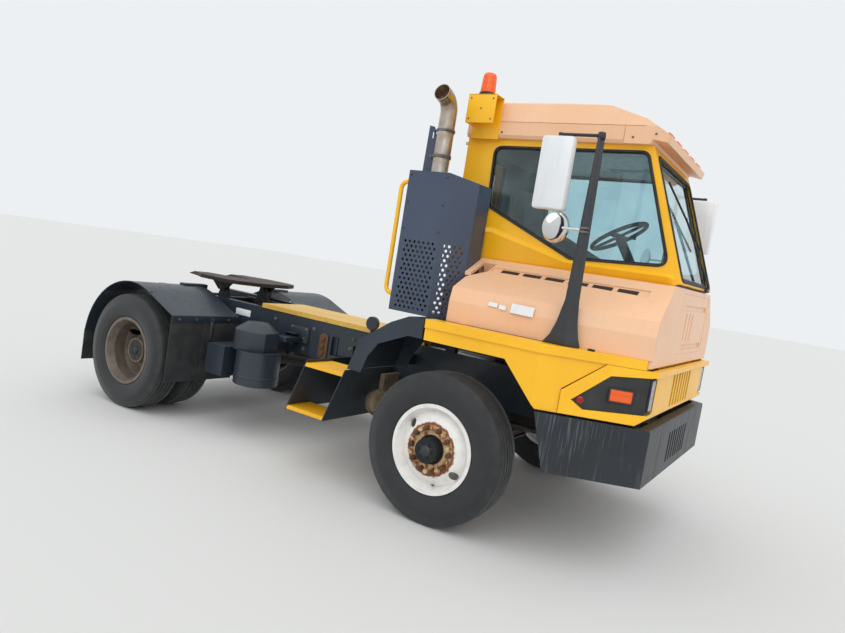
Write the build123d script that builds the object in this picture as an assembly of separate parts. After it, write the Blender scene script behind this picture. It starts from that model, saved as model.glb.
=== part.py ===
from build123d import *
import math
import os

# Terminal tractor with a tilting cab, a lifting fifth wheel boom and dual rear wheels.
# Millimetres. X forward, Y to the vehicle's left, Z up. Everything is drawn with X measured
# from the front axle, and each node is moved at the end so that the origin lies on the
# ground under the middle of the vehicle.

# Driving dimensions of the whole vehicle
WHEELBASE = 3200.0
FRONT_OVERHANG = 1275.0
REAR_OVERHANG = 725.0
HALF_WIDTH = 1200.0
TYRE_RADIUS = 508.0
ORIGIN_SHIFT = (WHEELBASE + REAR_OVERHANG - FRONT_OVERHANG) / 2
REAR_AXLE_X = -WHEELBASE
TAIL_X = REAR_AXLE_X - REAR_OVERHANG

# Frame rails
RAIL_OUT = 430.0
RAIL_FLANGE = 80.0
RAIL_TOP = 1060.0
RAIL_DEPTH = 330.0
RAIL_WALL = 12.0
RAIL_FRONT_X = 1120.0
RAIL_BOTTOM = RAIL_TOP - RAIL_DEPTH
RAIL_IN = RAIL_OUT - RAIL_FLANGE

# Plan outline of the front: parallel sides, then a taper to a narrower front
TAPER_START_X = 640.0
TAPER_ANGLE = 27.5
TAPER_TAN = math.tan(math.radians(TAPER_ANGLE))
TAPER_COS = math.cos(math.radians(TAPER_ANGLE))

# Cab tilt hinge
TILT_X = 1170.0
TILT_Z = 990.0
TILT_PIN_R = 12.0
TILT_EAR_R = 19.0
TILT_LUG_R = 23.0
TILT_BEAM_Z = 1195.0
PIN_GAP = 0.5
SEAT_GAP = 0.3

# Bumper
BUMPER_TOP = 940.0
BUMPER_BOTTOM = 590.0
BUMPER_WALL = 12.0
BUMPER_FLANGE = 70.0
BUMPER_REAR_TOP_X = 670.0
BUMPER_REAR_BOTTOM_X = 760.0
BUMPER_SLOTS = 8
BUMPER_SLOT_PITCH = 76.0
BUMPER_SLOT_WIDTH = 38.0

# Yellow skirt, rail and fascia under the hood
SKIRT_REAR_X = -165.0
DECK_RAIL_TOP = 1345.0
DECK_RAIL_BOTTOM = 1287.0
DECK_RAIL_WIDTH = 120.0
DECK_RAIL_FRONT_X = 1200.0
SKIRT_WALL = 20.0
SKIRT_INSET = 12.0
SKIRT_BOTTOM = 1205.0
ARCH_FRONT_X = 423.0
ARCH_LOW_X = 660.0
SKIRT_LOW_Z = 952.0
SEAM_X = 778.0
SEAM_GAP = 6.0
FASCIA_FRONT_X = 1236.0
FASCIA_LIP_X = 1185.0
FASCIA_LIP_Z = 1000.0
FASCIA_BOTTOM = 955.0
FASCIA_TOP = DECK_RAIL_BOTTOM - 2.0
FASCIA_WALL = 22.0
FASCIA_RISE_X = 990.0
FASCIA_RISE_Z = 1100.0
SHELF_FRONT_X = 1262.0
SHELF_DEPTH = 35.0
LOUVRES = 7
LOUVRE_PITCH = 88.0
LOUVRE_WIDTH = 52.0
LOUVRE_LOW = 1020.0
LOUVRE_HIGH = 1235.0
POD_TIP_X = 840.0
POD_TIP_Z = 1045.0
POD_LOW_X = 905.0
POD_TOP_X = 1024.0
POD_LOW_REAR = 998.0
POD_LOW_FRONT = 1024.0
POD_HIGH_REAR = 1222.0
POD_HIGH_FRONT = 1249.0
POD_INNER_Y = 762.0
POD_SINK = 14.0
SIGNAL_REAR_X = 1036.0
SIGNAL_FRONT_X = 1148.0
SIGNAL_LOW = 1079.0
SIGNAL_HIGH = 1146.0
HEADLAMP_WIDTH = 93.0

# Hood, the peach coloured shell around the cab's foot
HOOD_REAR_X = -100.0
HOOD_FRONT_X = 1215.0
HOOD_INSET = 150.0
HOOD_WALL = 20.0
HOOD_BEND_LOW = 1483.0
HOOD_BEND_HIGH = 1577.0
HOOD_TOP = 1800.0
HOOD_LEAN = 22.0
HOOD_TOP_HALF_REAR = 590.0
HOOD_TOP_HALF_FRONT = 630.0
HOOD_LIP_Z = 1300.0
HOOD_LIP_HALF = 895.0
PANEL_RIGHT = -330.0
PANEL_LEFT = 610.0
PANEL_LOW = 1365.0
PANEL_HIGH = 1770.0
SWAGE_DEPTH = 9.0
SWAGE_HEIGHT = 36.0
PANEL_SLOTS = 3
PANEL_SLOT_PITCH = 110.0
PANEL_SLOT_WIDTH = 30.0
PANEL_SLOT_LENGTH = 190.0

# Vents in the hood's slanting sides
VENTS = 6
VENT_REAR_X = 85.0
VENT_PITCH = 161.0
VENT_LENGTH = 128.0
VENT_HEIGHT = 30.0
VENT_Z = 1730.0
VENT_STRIP_MARGIN = 50.0
VENT_STRIP_HEIGHT = 66.0
VENT_STRIP_SINK = 9.0

# Scoop at the hood's rear end, beside the exhaust guard
SCOOP_FRONT_X = 5.0
SCOOP_TOP_DOWN = 70.0
SCOOP_LOW_DOWN = 190.0
SCOOP_FOOT_DOWN = 330.0
SCOOP_SINK = 95.0

# Cab
CAB_HALF = 560.0
CAB_WALL = 45.0
CAB_REAR_X = -431.0
CAB_FLOOR_TOP = 1320.0
CAB_FLOOR = 45.0
CAB_TOP = 2655.0
SCREEN_TOP_X = 925.0
SCREEN_FOOT_X = 1224.0
SCREEN_FOOT_Z = 1821.0
SCREEN_TOP_Z = 2619.0
CAB_GAP = 6.0
GLASS = 8.0
DOOR_OPEN_RIGHT = -440.0
DOOR_OPEN_LEFT = 40.0
DOOR_OPEN_BOTTOM = 1345.0
DOOR_HEAD = 95.0
DOOR_OPEN_TOP = CAB_TOP - DOOR_HEAD
DOOR_FRAME = 60.0
DOOR_SILL = 605.0
DOOR_THICK = 30.0
DOOR_LAP = 30.0
DOOR_RAIL = 20.0
DOOR_SLACK = 0.5

# Steering wheel in the cab
STEER_WHEEL_X = 600.0
STEER_WHEEL_Y = 90.0
STEER_WHEEL_Z = 2120.0
STEER_WHEEL_R = 210.0
STEER_WHEEL_LEAN = 32.0
COLUMN_LENGTH = 500.0

# Crease that stands proud of the cab's side below the window
CREASE_PROUD = 30.0
CREASE_LOW_Z = HOOD_TOP + 8.0

# Roof
ROOF_HALF = 605.0
ROOF_WALL = 40.0
ROOF_BAND_TOP = 2768.0
ROOF_SHOULDER_HALF = 568.0
ROOF_SHOULDER_Z = 2905.0
ROOF_CROWN_Z = 2940.0
ROOF_CROWN_HALF = 470.0
ROOF_GROOVE = 5.0
ROOF_SEAM_X = 720.0
VISOR_REAR_X = 850.0
VISOR_REAR_Z = 2815.0
VISOR_FRONT_X = 1010.0
VISOR_FRONT_Z = 2715.0
MARKER_COUNT = 5
MARKER_PITCH = 230.0
BEACON_BOX_REAR = -470.0
BEACON_BOX_FRONT = -230.0
BEACON_BOX_TOP = 2945.0
BEACON_BOX_HEIGHT = 170.0
BEACON_TOP = 3090.0

# Mirrors
MIRROR_Y = 1078.0
MIRROR_TOP = 2538.0
MIRROR_REAR_X = 405.0
MIRROR_WIDTH = 205.0
MIRROR_HEIGHT = 438.0
MIRROR_DEPTH = 80.0
MIRROR_EDGE_R = 16.0
POST_DEPTH = 50.0
SPOT_Z = 1990.0
SPOT_STAY_END_X = 710.3

# Wheels
FRONT_WHEEL_Y = 1045.0
REAR_OUTER_Y = 1105.0
DUAL_SPACING = 335.0
TYRE_WIDTH = 270.0
TYRE_BEAD_R = 286.0
TYRE_RIM_GAP = 0.4
RIM_R = 298.5
RIM_WIDTH = 224.0
BEAD_HALF = 105.0
RIM_WALL = 14.0
DISC_WALL = 14.0
HUB_R = 142.0
NUT_PCD = 285.75
NUT_COUNT = 10
NUT_R = 17.0
AXLE_Z = TYRE_RADIUS

# Front axle and steering
KINGPIN_Y = 865.0
KINGPIN_R = 20.0
KINGPIN_GAP = 0.6
SPINDLE_R = 44.0
REAR_SPINDLE_R = 52.0
BEARING_GAP = 0.8
STEER_ARM_X = -200.0
STEER_ARM_Z = 395.0
TIE_ROD_R = 18.0
BALL_R = 10.0
SPRING_Y = 390.0

# Lift boom and fifth wheel
BOOM_PIVOT_X = REAR_AXLE_X + 1300.0
BOOM_PIVOT_Z = 800.0
BOOM_PIN_R = 32.0
BOOM_ARM_IN = 235.0
BOOM_ARM_OUT = 325.0
BOOM_STEP_X = REAR_AXLE_X + 690.0
BOOM_LOW_TOP = 885.0
BOOM_LOW_BOTTOM = 735.0
BOOM_HIGH_TOP = 1040.0
BOOM_HIGH_BOTTOM = 910.0
BOOM_END_X = REAR_AXLE_X - 130.0
FIFTH_X = REAR_AXLE_X + 100.0
FIFTH_PIN_Z = 1150.0
FIFTH_PIN_R = 25.0
FIFTH_TOP = 1245.0
FIFTH_PLATE = 35.0
FIFTH_HALF = 450.0
KINGPIN_BORE_R = 25.9
LIFT_FOOT_X = REAR_AXLE_X + 460.0
LIFT_FOOT_Z = 500.0
LIFT_EYE_X = REAR_AXLE_X + 400.0
LIFT_EYE_Z = 975.0
LIFT_Y = 280.0
LIFT_BARREL_R = 52.0
LIFT_BARREL_LENGTH = 385.0
LIFT_ROD_R = 28.0

# Cab tilt cylinder
JACK_FOOT_X = 650.0
JACK_FOOT_Z = 900.0
JACK_EYE_X = 850.0
JACK_EYE_Z = 1235.0
JACK_Y = 545.0
JACK_BARREL_R = 34.0
JACK_BARREL_LENGTH = 352.0
JACK_ROD_R = 18.0
JACK_PIN_R = 14.0

# Exhaust guard and stack
GUARD_OUT = 950.0
GUARD_IN = 610.0
GUARD_REAR_X = -640.0
GUARD_FOLD_X = -310.0
GUARD_FRONT_X = -150.0
GUARD_FRONT_Y = 800.0
GUARD_BOTTOM = 1350.0
GUARD_TOP_REAR = 2330.0
GUARD_TOP_FRONT = 2290.0
GUARD_WALL = 6.0
SCREEN_LOW = 1355.0
SCREEN_HIGH = 1900.0
SCREEN_MARGIN = 34.0
HOLE_R = 10.0
HOLE_PITCH = 38.0
HOLE_ROW = 33.0
MUFFLER_R = 115.0
MUFFLER_LOW = 1420.0
MUFFLER_HIGH = 2180.0
FENDER_IN = 576.0

# Deck, rear arches, and what hangs on the rails between them and the steps
DECK_FRONT_X = -600.0
ARCH_R = 622.0
TANK_GAP = 218.0
BOX_GAP = 98.0
BOX_LENGTH = 215.0
CLEANER_GAP = 12.0
CLEANER_R = 190.0
CLEANER_CAP_HALF = 232.0
CLEANER_Y = -740.0
CLEANER_LOW = 440.0
CLEANER_CAP_LOW = 705.0
CLEANER_CAP_HIGH = 895.0
CLEANER_TOP = 965.0

# Steps on both sides, between the fuel tank or battery box and the front wheels
STEP_REAR_X = -1340.0
STEP_FRONT_X = -975.0
STEP_LEAN = 145.0
STEP_WALL = 8.0
STEP_LOW_Z = 435.0
STEP_HIGH_Z = 850.0
STEP_OUT = 1100.0
STACK_X = -490.0
STACK_Y = -800.0
STACK_R = 60.0
STACK_WALL = 4.0


def slab(x0, x1, y0, y1, z0, z1):
    """A box between two corners."""
    middle = Pos((x0 + x1) / 2, (y0 + y1) / 2, (z0 + z1) / 2)
    return middle * Box(abs(x1 - x0), abs(y1 - y0), abs(z1 - z0))


def prism_y(points, y0, y1):
    """A side outline of (x, z) corners carried across from y0 to y1."""
    outline = Wire.make_polygon([(x, y0, z) for x, z in points], close=True)
    return extrude(Face(outline), amount=y1 - y0, dir=(0, 1, 0))


def prism_x(points, x0, x1):
    """A cross outline of (y, z) corners carried along from x0 to x1."""
    outline = Wire.make_polygon([(x0, y, z) for y, z in points], close=True)
    return extrude(Face(outline), amount=x1 - x0, dir=(1, 0, 0))


def prism_z(points, z0, z1):
    """A plan outline of (x, y) corners carried up from z0 to z1."""
    outline = Wire.make_polygon([(x, y, z0) for x, y in points], close=True)
    return extrude(Face(outline), amount=z1 - z0, dir=(0, 0, 1))


def rod(start, end, radius):
    """A round bar between two points."""
    line = Vector(*end) - Vector(*start)
    disc = Plane(origin=start, z_dir=line) * Circle(radius)
    return extrude(disc, amount=line.length)


def pipe(start, end, radius, bore):
    """A round tube between two points."""
    return rod(start, end, radius) - rod(start, end, bore)


def other_side(part):
    """The same piece on the other side of the vehicle."""
    return mirror(part, about=Plane.XZ)


def both(part):
    """A piece of the left side together with its twin on the right."""
    return part + other_side(part)


def taper_half(x, inset):
    """Half the plan width at x, with the outline moved inwards by an inset."""
    side = HALF_WIDTH - inset
    slope = HALF_WIDTH - inset / TAPER_COS - (x - TAPER_START_X) * TAPER_TAN
    return min(side, slope)


def taper_plan(rear_x, front_x, inset):
    """Plan outline corners from rear_x to front_x at an inset."""
    corner_x = TAPER_START_X - (inset / TAPER_COS - inset) / TAPER_TAN
    half = HALF_WIDTH - inset
    front = taper_half(front_x, inset)
    left = [(rear_x, half), (corner_x, half), (front_x, front)]
    return left + [(x, -y) for x, y in reversed(left)]


def taper_band(rear_x, front_x, inset, wall, z0, z1):
    """A wall that follows the plan outline, open at the rear."""
    outer = prism_z(taper_plan(rear_x, front_x, inset), z0, z1)
    inner = prism_z(taper_plan(rear_x - wall, front_x - wall, inset + wall), z0 - 1, z1 + 1)
    return outer - inner


# Frame


def make_chassis_frame():
    """Two channel rails with crossmembers, hinge ears and cylinder brackets."""
    rail = prism_y([(TAIL_X + 15, RAIL_BOTTOM + 60), (TAIL_X + 15, RAIL_TOP), (RAIL_FRONT_X, RAIL_TOP),
                    (RAIL_FRONT_X, RAIL_BOTTOM + 20), (RAIL_FRONT_X - 60, RAIL_BOTTOM),
                    (TAIL_X + 300, RAIL_BOTTOM)], RAIL_IN, RAIL_OUT)
    hollow = slab(TAIL_X, RAIL_FRONT_X + 10, RAIL_IN - 1, RAIL_OUT - RAIL_WALL,
                  RAIL_BOTTOM + RAIL_WALL, RAIL_TOP - RAIL_WALL)
    low_tail = prism_y([(TAIL_X, RAIL_BOTTOM - 20), (TAIL_X, RAIL_BOTTOM + 75),
                        (TAIL_X + 300, RAIL_BOTTOM + RAIL_WALL + 1), (TAIL_X + 300, RAIL_BOTTOM - 20)],
                       RAIL_IN - 2, RAIL_OUT - RAIL_WALL)
    frame = both(rail - (hollow - low_tail))
    web = RAIL_OUT - RAIL_WALL
    # Crossmembers: middle x, half length, bottom, top
    for x, half, low, high in ((-600.0, 60.0, 790.0, 1000.0), (BOOM_PIVOT_X + 400, 60.0, 790.0, 1000.0),
                               (TAIL_X + 60, 35.0, 810.0, 990.0)):
        beam = slab(x - half, x + half, -web, web, low, high)
        frame += beam - slab(x - half + 8, x + half + 1, -web - 1, web + 1, low + 8, high - 8)
    frame += rod((BOOM_PIVOT_X, -web, BOOM_PIVOT_Z), (BOOM_PIVOT_X, web, BOOM_PIVOT_Z), BOOM_PIN_R)
    frame += slab(980, 1060, -web, web, 760, 800)
    # Hinge ears for the cab at the front of each rail
    ear = prism_y([(RAIL_FRONT_X - 120, TILT_Z - 60), (RAIL_FRONT_X - 120, TILT_Z + 50),
                   (RAIL_FRONT_X, TILT_Z + 40), (TILT_X, TILT_Z + TILT_EAR_R), (TILT_X, TILT_Z - TILT_EAR_R),
                   (RAIL_FRONT_X, TILT_Z - 8), (RAIL_FRONT_X - 20, TILT_Z - 60)],
                  RAIL_OUT - RAIL_WALL, RAIL_OUT + 3)
    ear += rod((TILT_X, RAIL_OUT - RAIL_WALL, TILT_Z), (TILT_X, RAIL_OUT + 3, TILT_Z), TILT_EAR_R)
    pin = rod((TILT_X, RAIL_OUT - 62, TILT_Z), (TILT_X, RAIL_OUT + 3, TILT_Z), TILT_PIN_R)
    frame += both(ear + pin)
    # Feet of the boom lift cylinders
    foot = prism_y([(LIFT_FOOT_X - 70, RAIL_BOTTOM + 5), (LIFT_FOOT_X - 35, LIFT_FOOT_Z - 40),
                    (LIFT_FOOT_X + 35, LIFT_FOOT_Z - 40), (LIFT_FOOT_X + 70, RAIL_BOTTOM + 5)],
                   RAIL_IN, RAIL_IN + 15)
    foot += rod((LIFT_FOOT_X, LIFT_Y - 30, LIFT_FOOT_Z), (LIFT_FOOT_X, RAIL_IN + 15, LIFT_FOOT_Z), 18)
    frame += both(foot)
    # Foot of the cab tilt cylinder
    frame += slab(JACK_FOOT_X - 45, JACK_FOOT_X + 45, -JACK_Y + 45, -RAIL_OUT + 1, JACK_FOOT_Z - 25,
                  JACK_FOOT_Z + 25)
    frame += rod((JACK_FOOT_X, -JACK_Y - 22, JACK_FOOT_Z), (JACK_FOOT_X, -JACK_Y + 50, JACK_FOOT_Z),
                 JACK_PIN_R)
    # Round filler cap on its stem beside the deck plate
    frame += slab(-1125, -1075, -RAIL_OUT - 52, -RAIL_OUT + 1, 1022, 1034)
    frame += rod((-1100, -RAIL_OUT - 36, 1030), (-1100, -RAIL_OUT - 36, 1110), 14)
    frame += rod((-1100, -RAIL_OUT - 56, 1145), (-1100, -RAIL_OUT - 22, 1145), 56)
    # Rear rests of the cab
    frame += both(slab(-420, -340, 360, 420, RAIL_TOP - 1, TILT_BEAM_Z - SEAT_GAP))
    return frame


def make_bumper():
    """Deep steel bumper with wrapped wings, a slotted grille and brackets."""
    shell = taper_band(300, FRONT_OVERHANG, -10, BUMPER_WALL, BUMPER_BOTTOM, BUMPER_TOP)
    flanges = (taper_band(300, FRONT_OVERHANG, -10, BUMPER_FLANGE, BUMPER_TOP - 8, BUMPER_TOP)
               + taper_band(300, FRONT_OVERHANG, -10, BUMPER_FLANGE, BUMPER_BOTTOM, BUMPER_BOTTOM + 8))
    side = prism_y([(BUMPER_REAR_BOTTOM_X, BUMPER_BOTTOM), (BUMPER_REAR_TOP_X, BUMPER_TOP),
                    (FRONT_OVERHANG - 8, BUMPER_TOP), (FRONT_OVERHANG, BUMPER_TOP - 12),
                    (FRONT_OVERHANG, BUMPER_BOTTOM)], -HALF_WIDTH - 60, HALF_WIDTH + 60)
    bumper = (shell + flanges) & side
    half = BUMPER_SLOT_WIDTH / 2
    for i in range(BUMPER_SLOTS):
        y = (i - (BUMPER_SLOTS - 1) / 2) * BUMPER_SLOT_PITCH
        bumper -= slab(FRONT_OVERHANG - 40, FRONT_OVERHANG + 20, y - half, y + half, BUMPER_BOTTOM + 65,
                       BUMPER_TOP - 85)
    web = RAIL_OUT - RAIL_WALL - SEAT_GAP
    bracket = slab(RAIL_FRONT_X - 50, FRONT_OVERHANG - BUMPER_WALL + 1, web - 14, web, 760, 900)
    return bumper + both(bracket)


# Front axle, steering and springs


def make_front_axle():
    """Dropped beam with spring pads, end bosses and king pins."""
    half = prism_x([(0, 405), (0, 480), (300, 480), (480, 560), (780, 560), (KINGPIN_Y, 545),
                    (KINGPIN_Y, 470), (780, 470), (520, 470), (340, 405)], -40, 40)
    web = prism_x([(-1, 420), (-1, 465), (306, 465), (486, 545), (760, 545), (760, 485), (516, 485),
                   (334, 420)], 0, 30)
    half = half - Pos(12, 0, 0) * web - Pos(-42, 0, 0) * web
    half += rod((0, KINGPIN_Y, 450), (0, KINGPIN_Y, 566), 46)
    half += rod((0, KINGPIN_Y, 400), (0, KINGPIN_Y, 616), KINGPIN_R)
    half += slab(-75, 75, SPRING_Y - 45, SPRING_Y + 45, 500, 590)
    return both(half)


def make_front_springs():
    """Leaf packs over the beam with hangers under the rails and U bolts."""
    pack = None
    for i, (half, z) in enumerate(((600, 645), (470, 632), (340, 619), (220, 606), (130, 593))):
        leaf = slab(-half, half, SPRING_Y - 38, SPRING_Y + 38, z - 3, z + 10)
        pack = leaf if pack is None else pack + leaf
    for x in (-600, 600):
        pack += pipe((x, SPRING_Y - 38, 652), (x, SPRING_Y + 38, 652), 26, 12)
    front = prism_y([(555, RAIL_BOTTOM - 0.3), (645, RAIL_BOTTOM - 0.3), (622, 635), (578, 635)],
                    SPRING_Y - 48, SPRING_Y - 39) + prism_y(
        [(555, RAIL_BOTTOM - 0.3), (645, RAIL_BOTTOM - 0.3), (622, 635), (578, 635)],
        SPRING_Y + 39, SPRING_Y + 48) + slab(555, 645, SPRING_Y - 48, SPRING_Y + 48, RAIL_BOTTOM - 12,
                                             RAIL_BOTTOM - 0.3)
    front += rod((600, SPRING_Y - 48, 652), (600, SPRING_Y + 48, 652), 12)
    rear = Pos(-1200, 0, 0) * front
    pack = pack + front + rear
    for x in (-58, 58):
        for y in (SPRING_Y - 46, SPRING_Y + 46):
            pack += rod((x, y, 590.3), (x, y, 672), 8)
        pack += rod((x, SPRING_Y - 54, 664), (x, SPRING_Y + 54, 664), 9)
    return both(pack)


def make_knuckle():
    """Left knuckle: yoke round the beam's end, spindle, steering arm and backing plate."""
    y = KINGPIN_Y
    yoke = slab(-45, 45, y - 45, y + 62, 582, 612) + slab(-45, 45, y - 45, y + 62, 410, 438)
    yoke += slab(-45, 45, y + 52, y + 72, 410, 612)
    yoke -= rod((0, y, 380), (0, y, 640), KINGPIN_R + KINGPIN_GAP)
    spindle = rod((0, y + 60, AXLE_Z), (0, FRONT_WHEEL_Y + 65, AXLE_Z), SPINDLE_R)
    plate = rod((0, y + 60, AXLE_Z), (0, y + 68, AXLE_Z), 195)
    arm = prism_z([(45, y - 45), (-30, y - 45), (STEER_ARM_X - 28, KINGPIN_Y - 26),
                   (STEER_ARM_X - 28, KINGPIN_Y + 26), (-30, y + 60), (45, y + 60)], 410, 430)
    arm += rod((STEER_ARM_X, KINGPIN_Y, STEER_ARM_Z - 24), (STEER_ARM_X, KINGPIN_Y, 412), BALL_R)
    arm -= rod((0, y, 380), (0, y, 640), KINGPIN_R + KINGPIN_GAP)
    return yoke + spindle + plate + arm


def make_tie_rod():
    """Cross rod between the two steering arms."""
    eye = rod((STEER_ARM_X, KINGPIN_Y, STEER_ARM_Z - 22), (STEER_ARM_X, KINGPIN_Y, STEER_ARM_Z + 12), 26)
    eye -= rod((STEER_ARM_X, KINGPIN_Y, STEER_ARM_Z - 40), (STEER_ARM_X, KINGPIN_Y, STEER_ARM_Z + 20),
               BALL_R + 0.6)
    bar = rod((STEER_ARM_X, -KINGPIN_Y + 24, STEER_ARM_Z - 5), (STEER_ARM_X, KINGPIN_Y - 24, STEER_ARM_Z - 5),
              TIE_ROD_R)
    return bar + both(eye)


# Wheels


def make_tyre(y):
    """One radial tyre as a hollow ring with a grooved road tread."""
    half = TYRE_WIDTH / 2
    crown = half - 30
    bead = BEAD_HALF - TYRE_RIM_GAP
    outline = [(TYRE_BEAD_R, -bead), (RIM_R + 1, -bead), (RIM_R + 6, -bead - 12), (TYRE_BEAD_R + 92, -half),
               (TYRE_BEAD_R + 150, -half + 4), (TYRE_RADIUS - 10, -crown - 6), (TYRE_RADIUS, -crown + 12),
               (TYRE_RADIUS, crown - 12), (TYRE_RADIUS - 10, crown + 6), (TYRE_BEAD_R + 150, half - 4),
               (TYRE_BEAD_R + 92, half), (RIM_R + 6, bead + 12), (RIM_R + 1, bead), (TYRE_BEAD_R, bead)]
    face = Face(Wire.make_polygon([(r, 0, w) for r, w in outline], close=True))
    ring = revolve(face, axis=Axis.Z)
    for w in (-54.0, -18.0, 18.0, 54.0):
        groove = Pos(0, 0, w) * (Cylinder(TYRE_RADIUS + 5, 9) - Cylinder(TYRE_RADIUS - 13, 9))
        ring -= groove
    return Pos(0, y, AXLE_Z) * Rot(-90, 0, 0) * ring


def rim_ring():
    """The rim barrel with its two flanges, about Z, centred on zero."""
    half = RIM_WIDTH / 2
    seat = TYRE_BEAD_R - TYRE_RIM_GAP
    well = seat - 24
    outline = [(seat - 12, -half), (RIM_R, -half), (RIM_R, -BEAD_HALF), (seat, -BEAD_HALF), (seat, -72),
               (well, -45),
               (well, 45), (seat, 72), (seat, BEAD_HALF), (RIM_R, BEAD_HALF), (RIM_R, half),
               (seat - 12, half),
               (well - RIM_WALL, 52), (well - RIM_WALL, -52)]
    return revolve(Face(Wire.make_polygon([(r, 0, w) for r, w in outline], close=True)), axis=Axis.Z)


def disc(offset, foot):
    """A dished wheel disc about Z: hub face at offset, joined to the rim barrel at foot."""
    barrel = TYRE_BEAD_R - TYRE_RIM_GAP - 26
    t = DISC_WALL
    sign = 1.0 if offset > foot else -1.0
    outline = [(95, offset), (175, offset), (200, offset - sign * 10), (barrel, foot),
               (barrel, foot - sign * t),
               (205, offset - sign * (12 + t)), (175, offset - sign * t), (95, offset - sign * t)]
    plate = revolve(Face(Wire.make_polygon([(r, 0, w) for r, w in outline], close=True)), axis=Axis.Z)
    for angle in (36, 216):
        hole = Rot(0, 0, angle) * Pos(222, 0, (offset + foot) / 2) * Cylinder(30, 200)
        plate -= hole
    return plate


def nuts(face, height):
    """Ten wheel nuts on their bolt circle, about Z, standing on face."""
    ring = None
    for i in range(NUT_COUNT):
        angle = 360.0 / NUT_COUNT * (i + 0.5)
        nut = Rot(0, 0, angle) * Pos(NUT_PCD / 2, 0, face + height / 2) * extrude(
            RegularPolygon(NUT_R, 6), amount=height / 2, both=True)
        ring = nut if ring is None else ring + nut
    return ring


def make_front_wheel():
    """Left front wheel: outset disc, hub, cap, nuts and brake drum."""
    wheel = rim_ring() + disc(105, 45)
    hub = Pos(0, 0, 40) * Cylinder(HUB_R, 120) + Pos(0, 0, 135) * Cylinder(82, 70)
    hub += nuts(104, 34)
    drum = Pos(0, 0, -40) * (Cylinder(205, 130) - Pos(0, 0, -12) * Cylinder(190, 130))
    hub += drum
    hub -= Pos(0, 0, -50) * Cylinder(SPINDLE_R + BEARING_GAP, 250)
    return Pos(0, FRONT_WHEEL_Y, AXLE_Z) * Rot(-90, 0, 0) * (wheel + hub)


def make_rear_wheels():
    """Left rear pair: two rims with their discs back to back, hub, nuts and drum."""
    inner_y = REAR_OUTER_Y - DUAL_SPACING
    middle = (REAR_OUTER_Y + inner_y) / 2
    half = DUAL_SPACING / 2
    outer = Pos(0, 0, half) * (rim_ring() + disc(-half + DISC_WALL, -45))
    inner = Pos(0, 0, -half) * (rim_ring() + disc(half, 45))
    hub = Pos(0, 0, 20) * Cylinder(HUB_R, 130) + Pos(0, 0, 110) * Cylinder(110, 130)
    hub += nuts(DISC_WALL, 34)
    drum = Pos(0, 0, -110) * (Cylinder(208, 200) - Pos(0, 0, -14) * Cylinder(192, 200))
    hub += drum
    hub -= Pos(0, 0, -155) * Cylinder(REAR_SPINDLE_R + BEARING_GAP, 350)
    return Pos(REAR_AXLE_X, middle, AXLE_Z) * Rot(-90, 0, 0) * (outer + inner + hub)


def make_rear_axle():
    """Drive axle: casing with a round bowl, tubes, spindles, brake cans and solid mounts."""
    casing = rod((REAR_AXLE_X, -590, AXLE_Z), (REAR_AXLE_X, 590, AXLE_Z), 72)
    spindle_end = REAR_OUTER_Y - DUAL_SPACING / 2 + 8
    casing += rod((REAR_AXLE_X, -spindle_end, AXLE_Z), (REAR_AXLE_X, spindle_end, AXLE_Z), REAR_SPINDLE_R)
    casing += Pos(REAR_AXLE_X, 0, AXLE_Z) * Rot(0, 90, 0) * Cylinder(195, 170)
    casing += rod((REAR_AXLE_X + 80, 0, AXLE_Z), (REAR_AXLE_X + 300, 0, AXLE_Z), 80)
    for side in (-1, 1):
        low, high = sorted((side * 355, side * 430))
        casing += slab(REAR_AXLE_X - 110, REAR_AXLE_X + 110, low, high, AXLE_Z + 30, RAIL_BOTTOM - 0.3)
    for side in (-1, 1):
        casing += rod((REAR_AXLE_X + 60, side * 500, AXLE_Z + 20),
                      (REAR_AXLE_X + 240, side * 500, AXLE_Z + 60), 78)
    return casing


# Engine and driveline


def make_engine():
    """Engine and gearbox as one plain block with the oil pan's step."""
    block = slab(-60, 880, -270, 270, 800, 1190) + slab(60, 700, -200, 200, 600, 800)
    gearbox = slab(-520, -60, -190, 190, 640, 1010)
    web = RAIL_OUT - RAIL_WALL - SEAT_GAP
    mounts = both(slab(300, 380, 269, web, 860, 900)) + both(slab(-400, -340, 189, web, 860, 900))
    return block + gearbox + mounts


def make_radiator():
    """Cooling pack behind the fascia with its shroud."""
    return slab(985, 1060, -330, 330, 800.3, 1180) + slab(900, 985, -250, 250, 850, 1150)


def make_driveshaft():
    """Propeller shaft from the gearbox to the drive axle."""
    start_x = -520.3
    end_x = REAR_AXLE_X + 300.3
    shaft = rod((start_x + 50, 0, 724), (end_x - 50, 0, AXLE_Z - 4), 48)
    return shaft & slab(end_x, start_x, -100, 100, 300, 900)


# Deck, guards and side equipment of the chassis


def make_deck_plate():
    """Yellow tread plate on the rails behind the cab."""
    rear = BOOM_STEP_X + 130
    plate = slab(rear, DECK_FRONT_X, -RAIL_OUT - 15, 120, RAIL_TOP, RAIL_TOP + 40)
    plate -= slab(rear - 10, DECK_FRONT_X + 10, -RAIL_OUT - 7, 112, RAIL_TOP - 1, RAIL_TOP + 34)
    plate += slab(rear, DECK_FRONT_X, -RAIL_IN, -RAIL_IN + 6, RAIL_TOP, RAIL_TOP + 35)
    return plate


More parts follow.
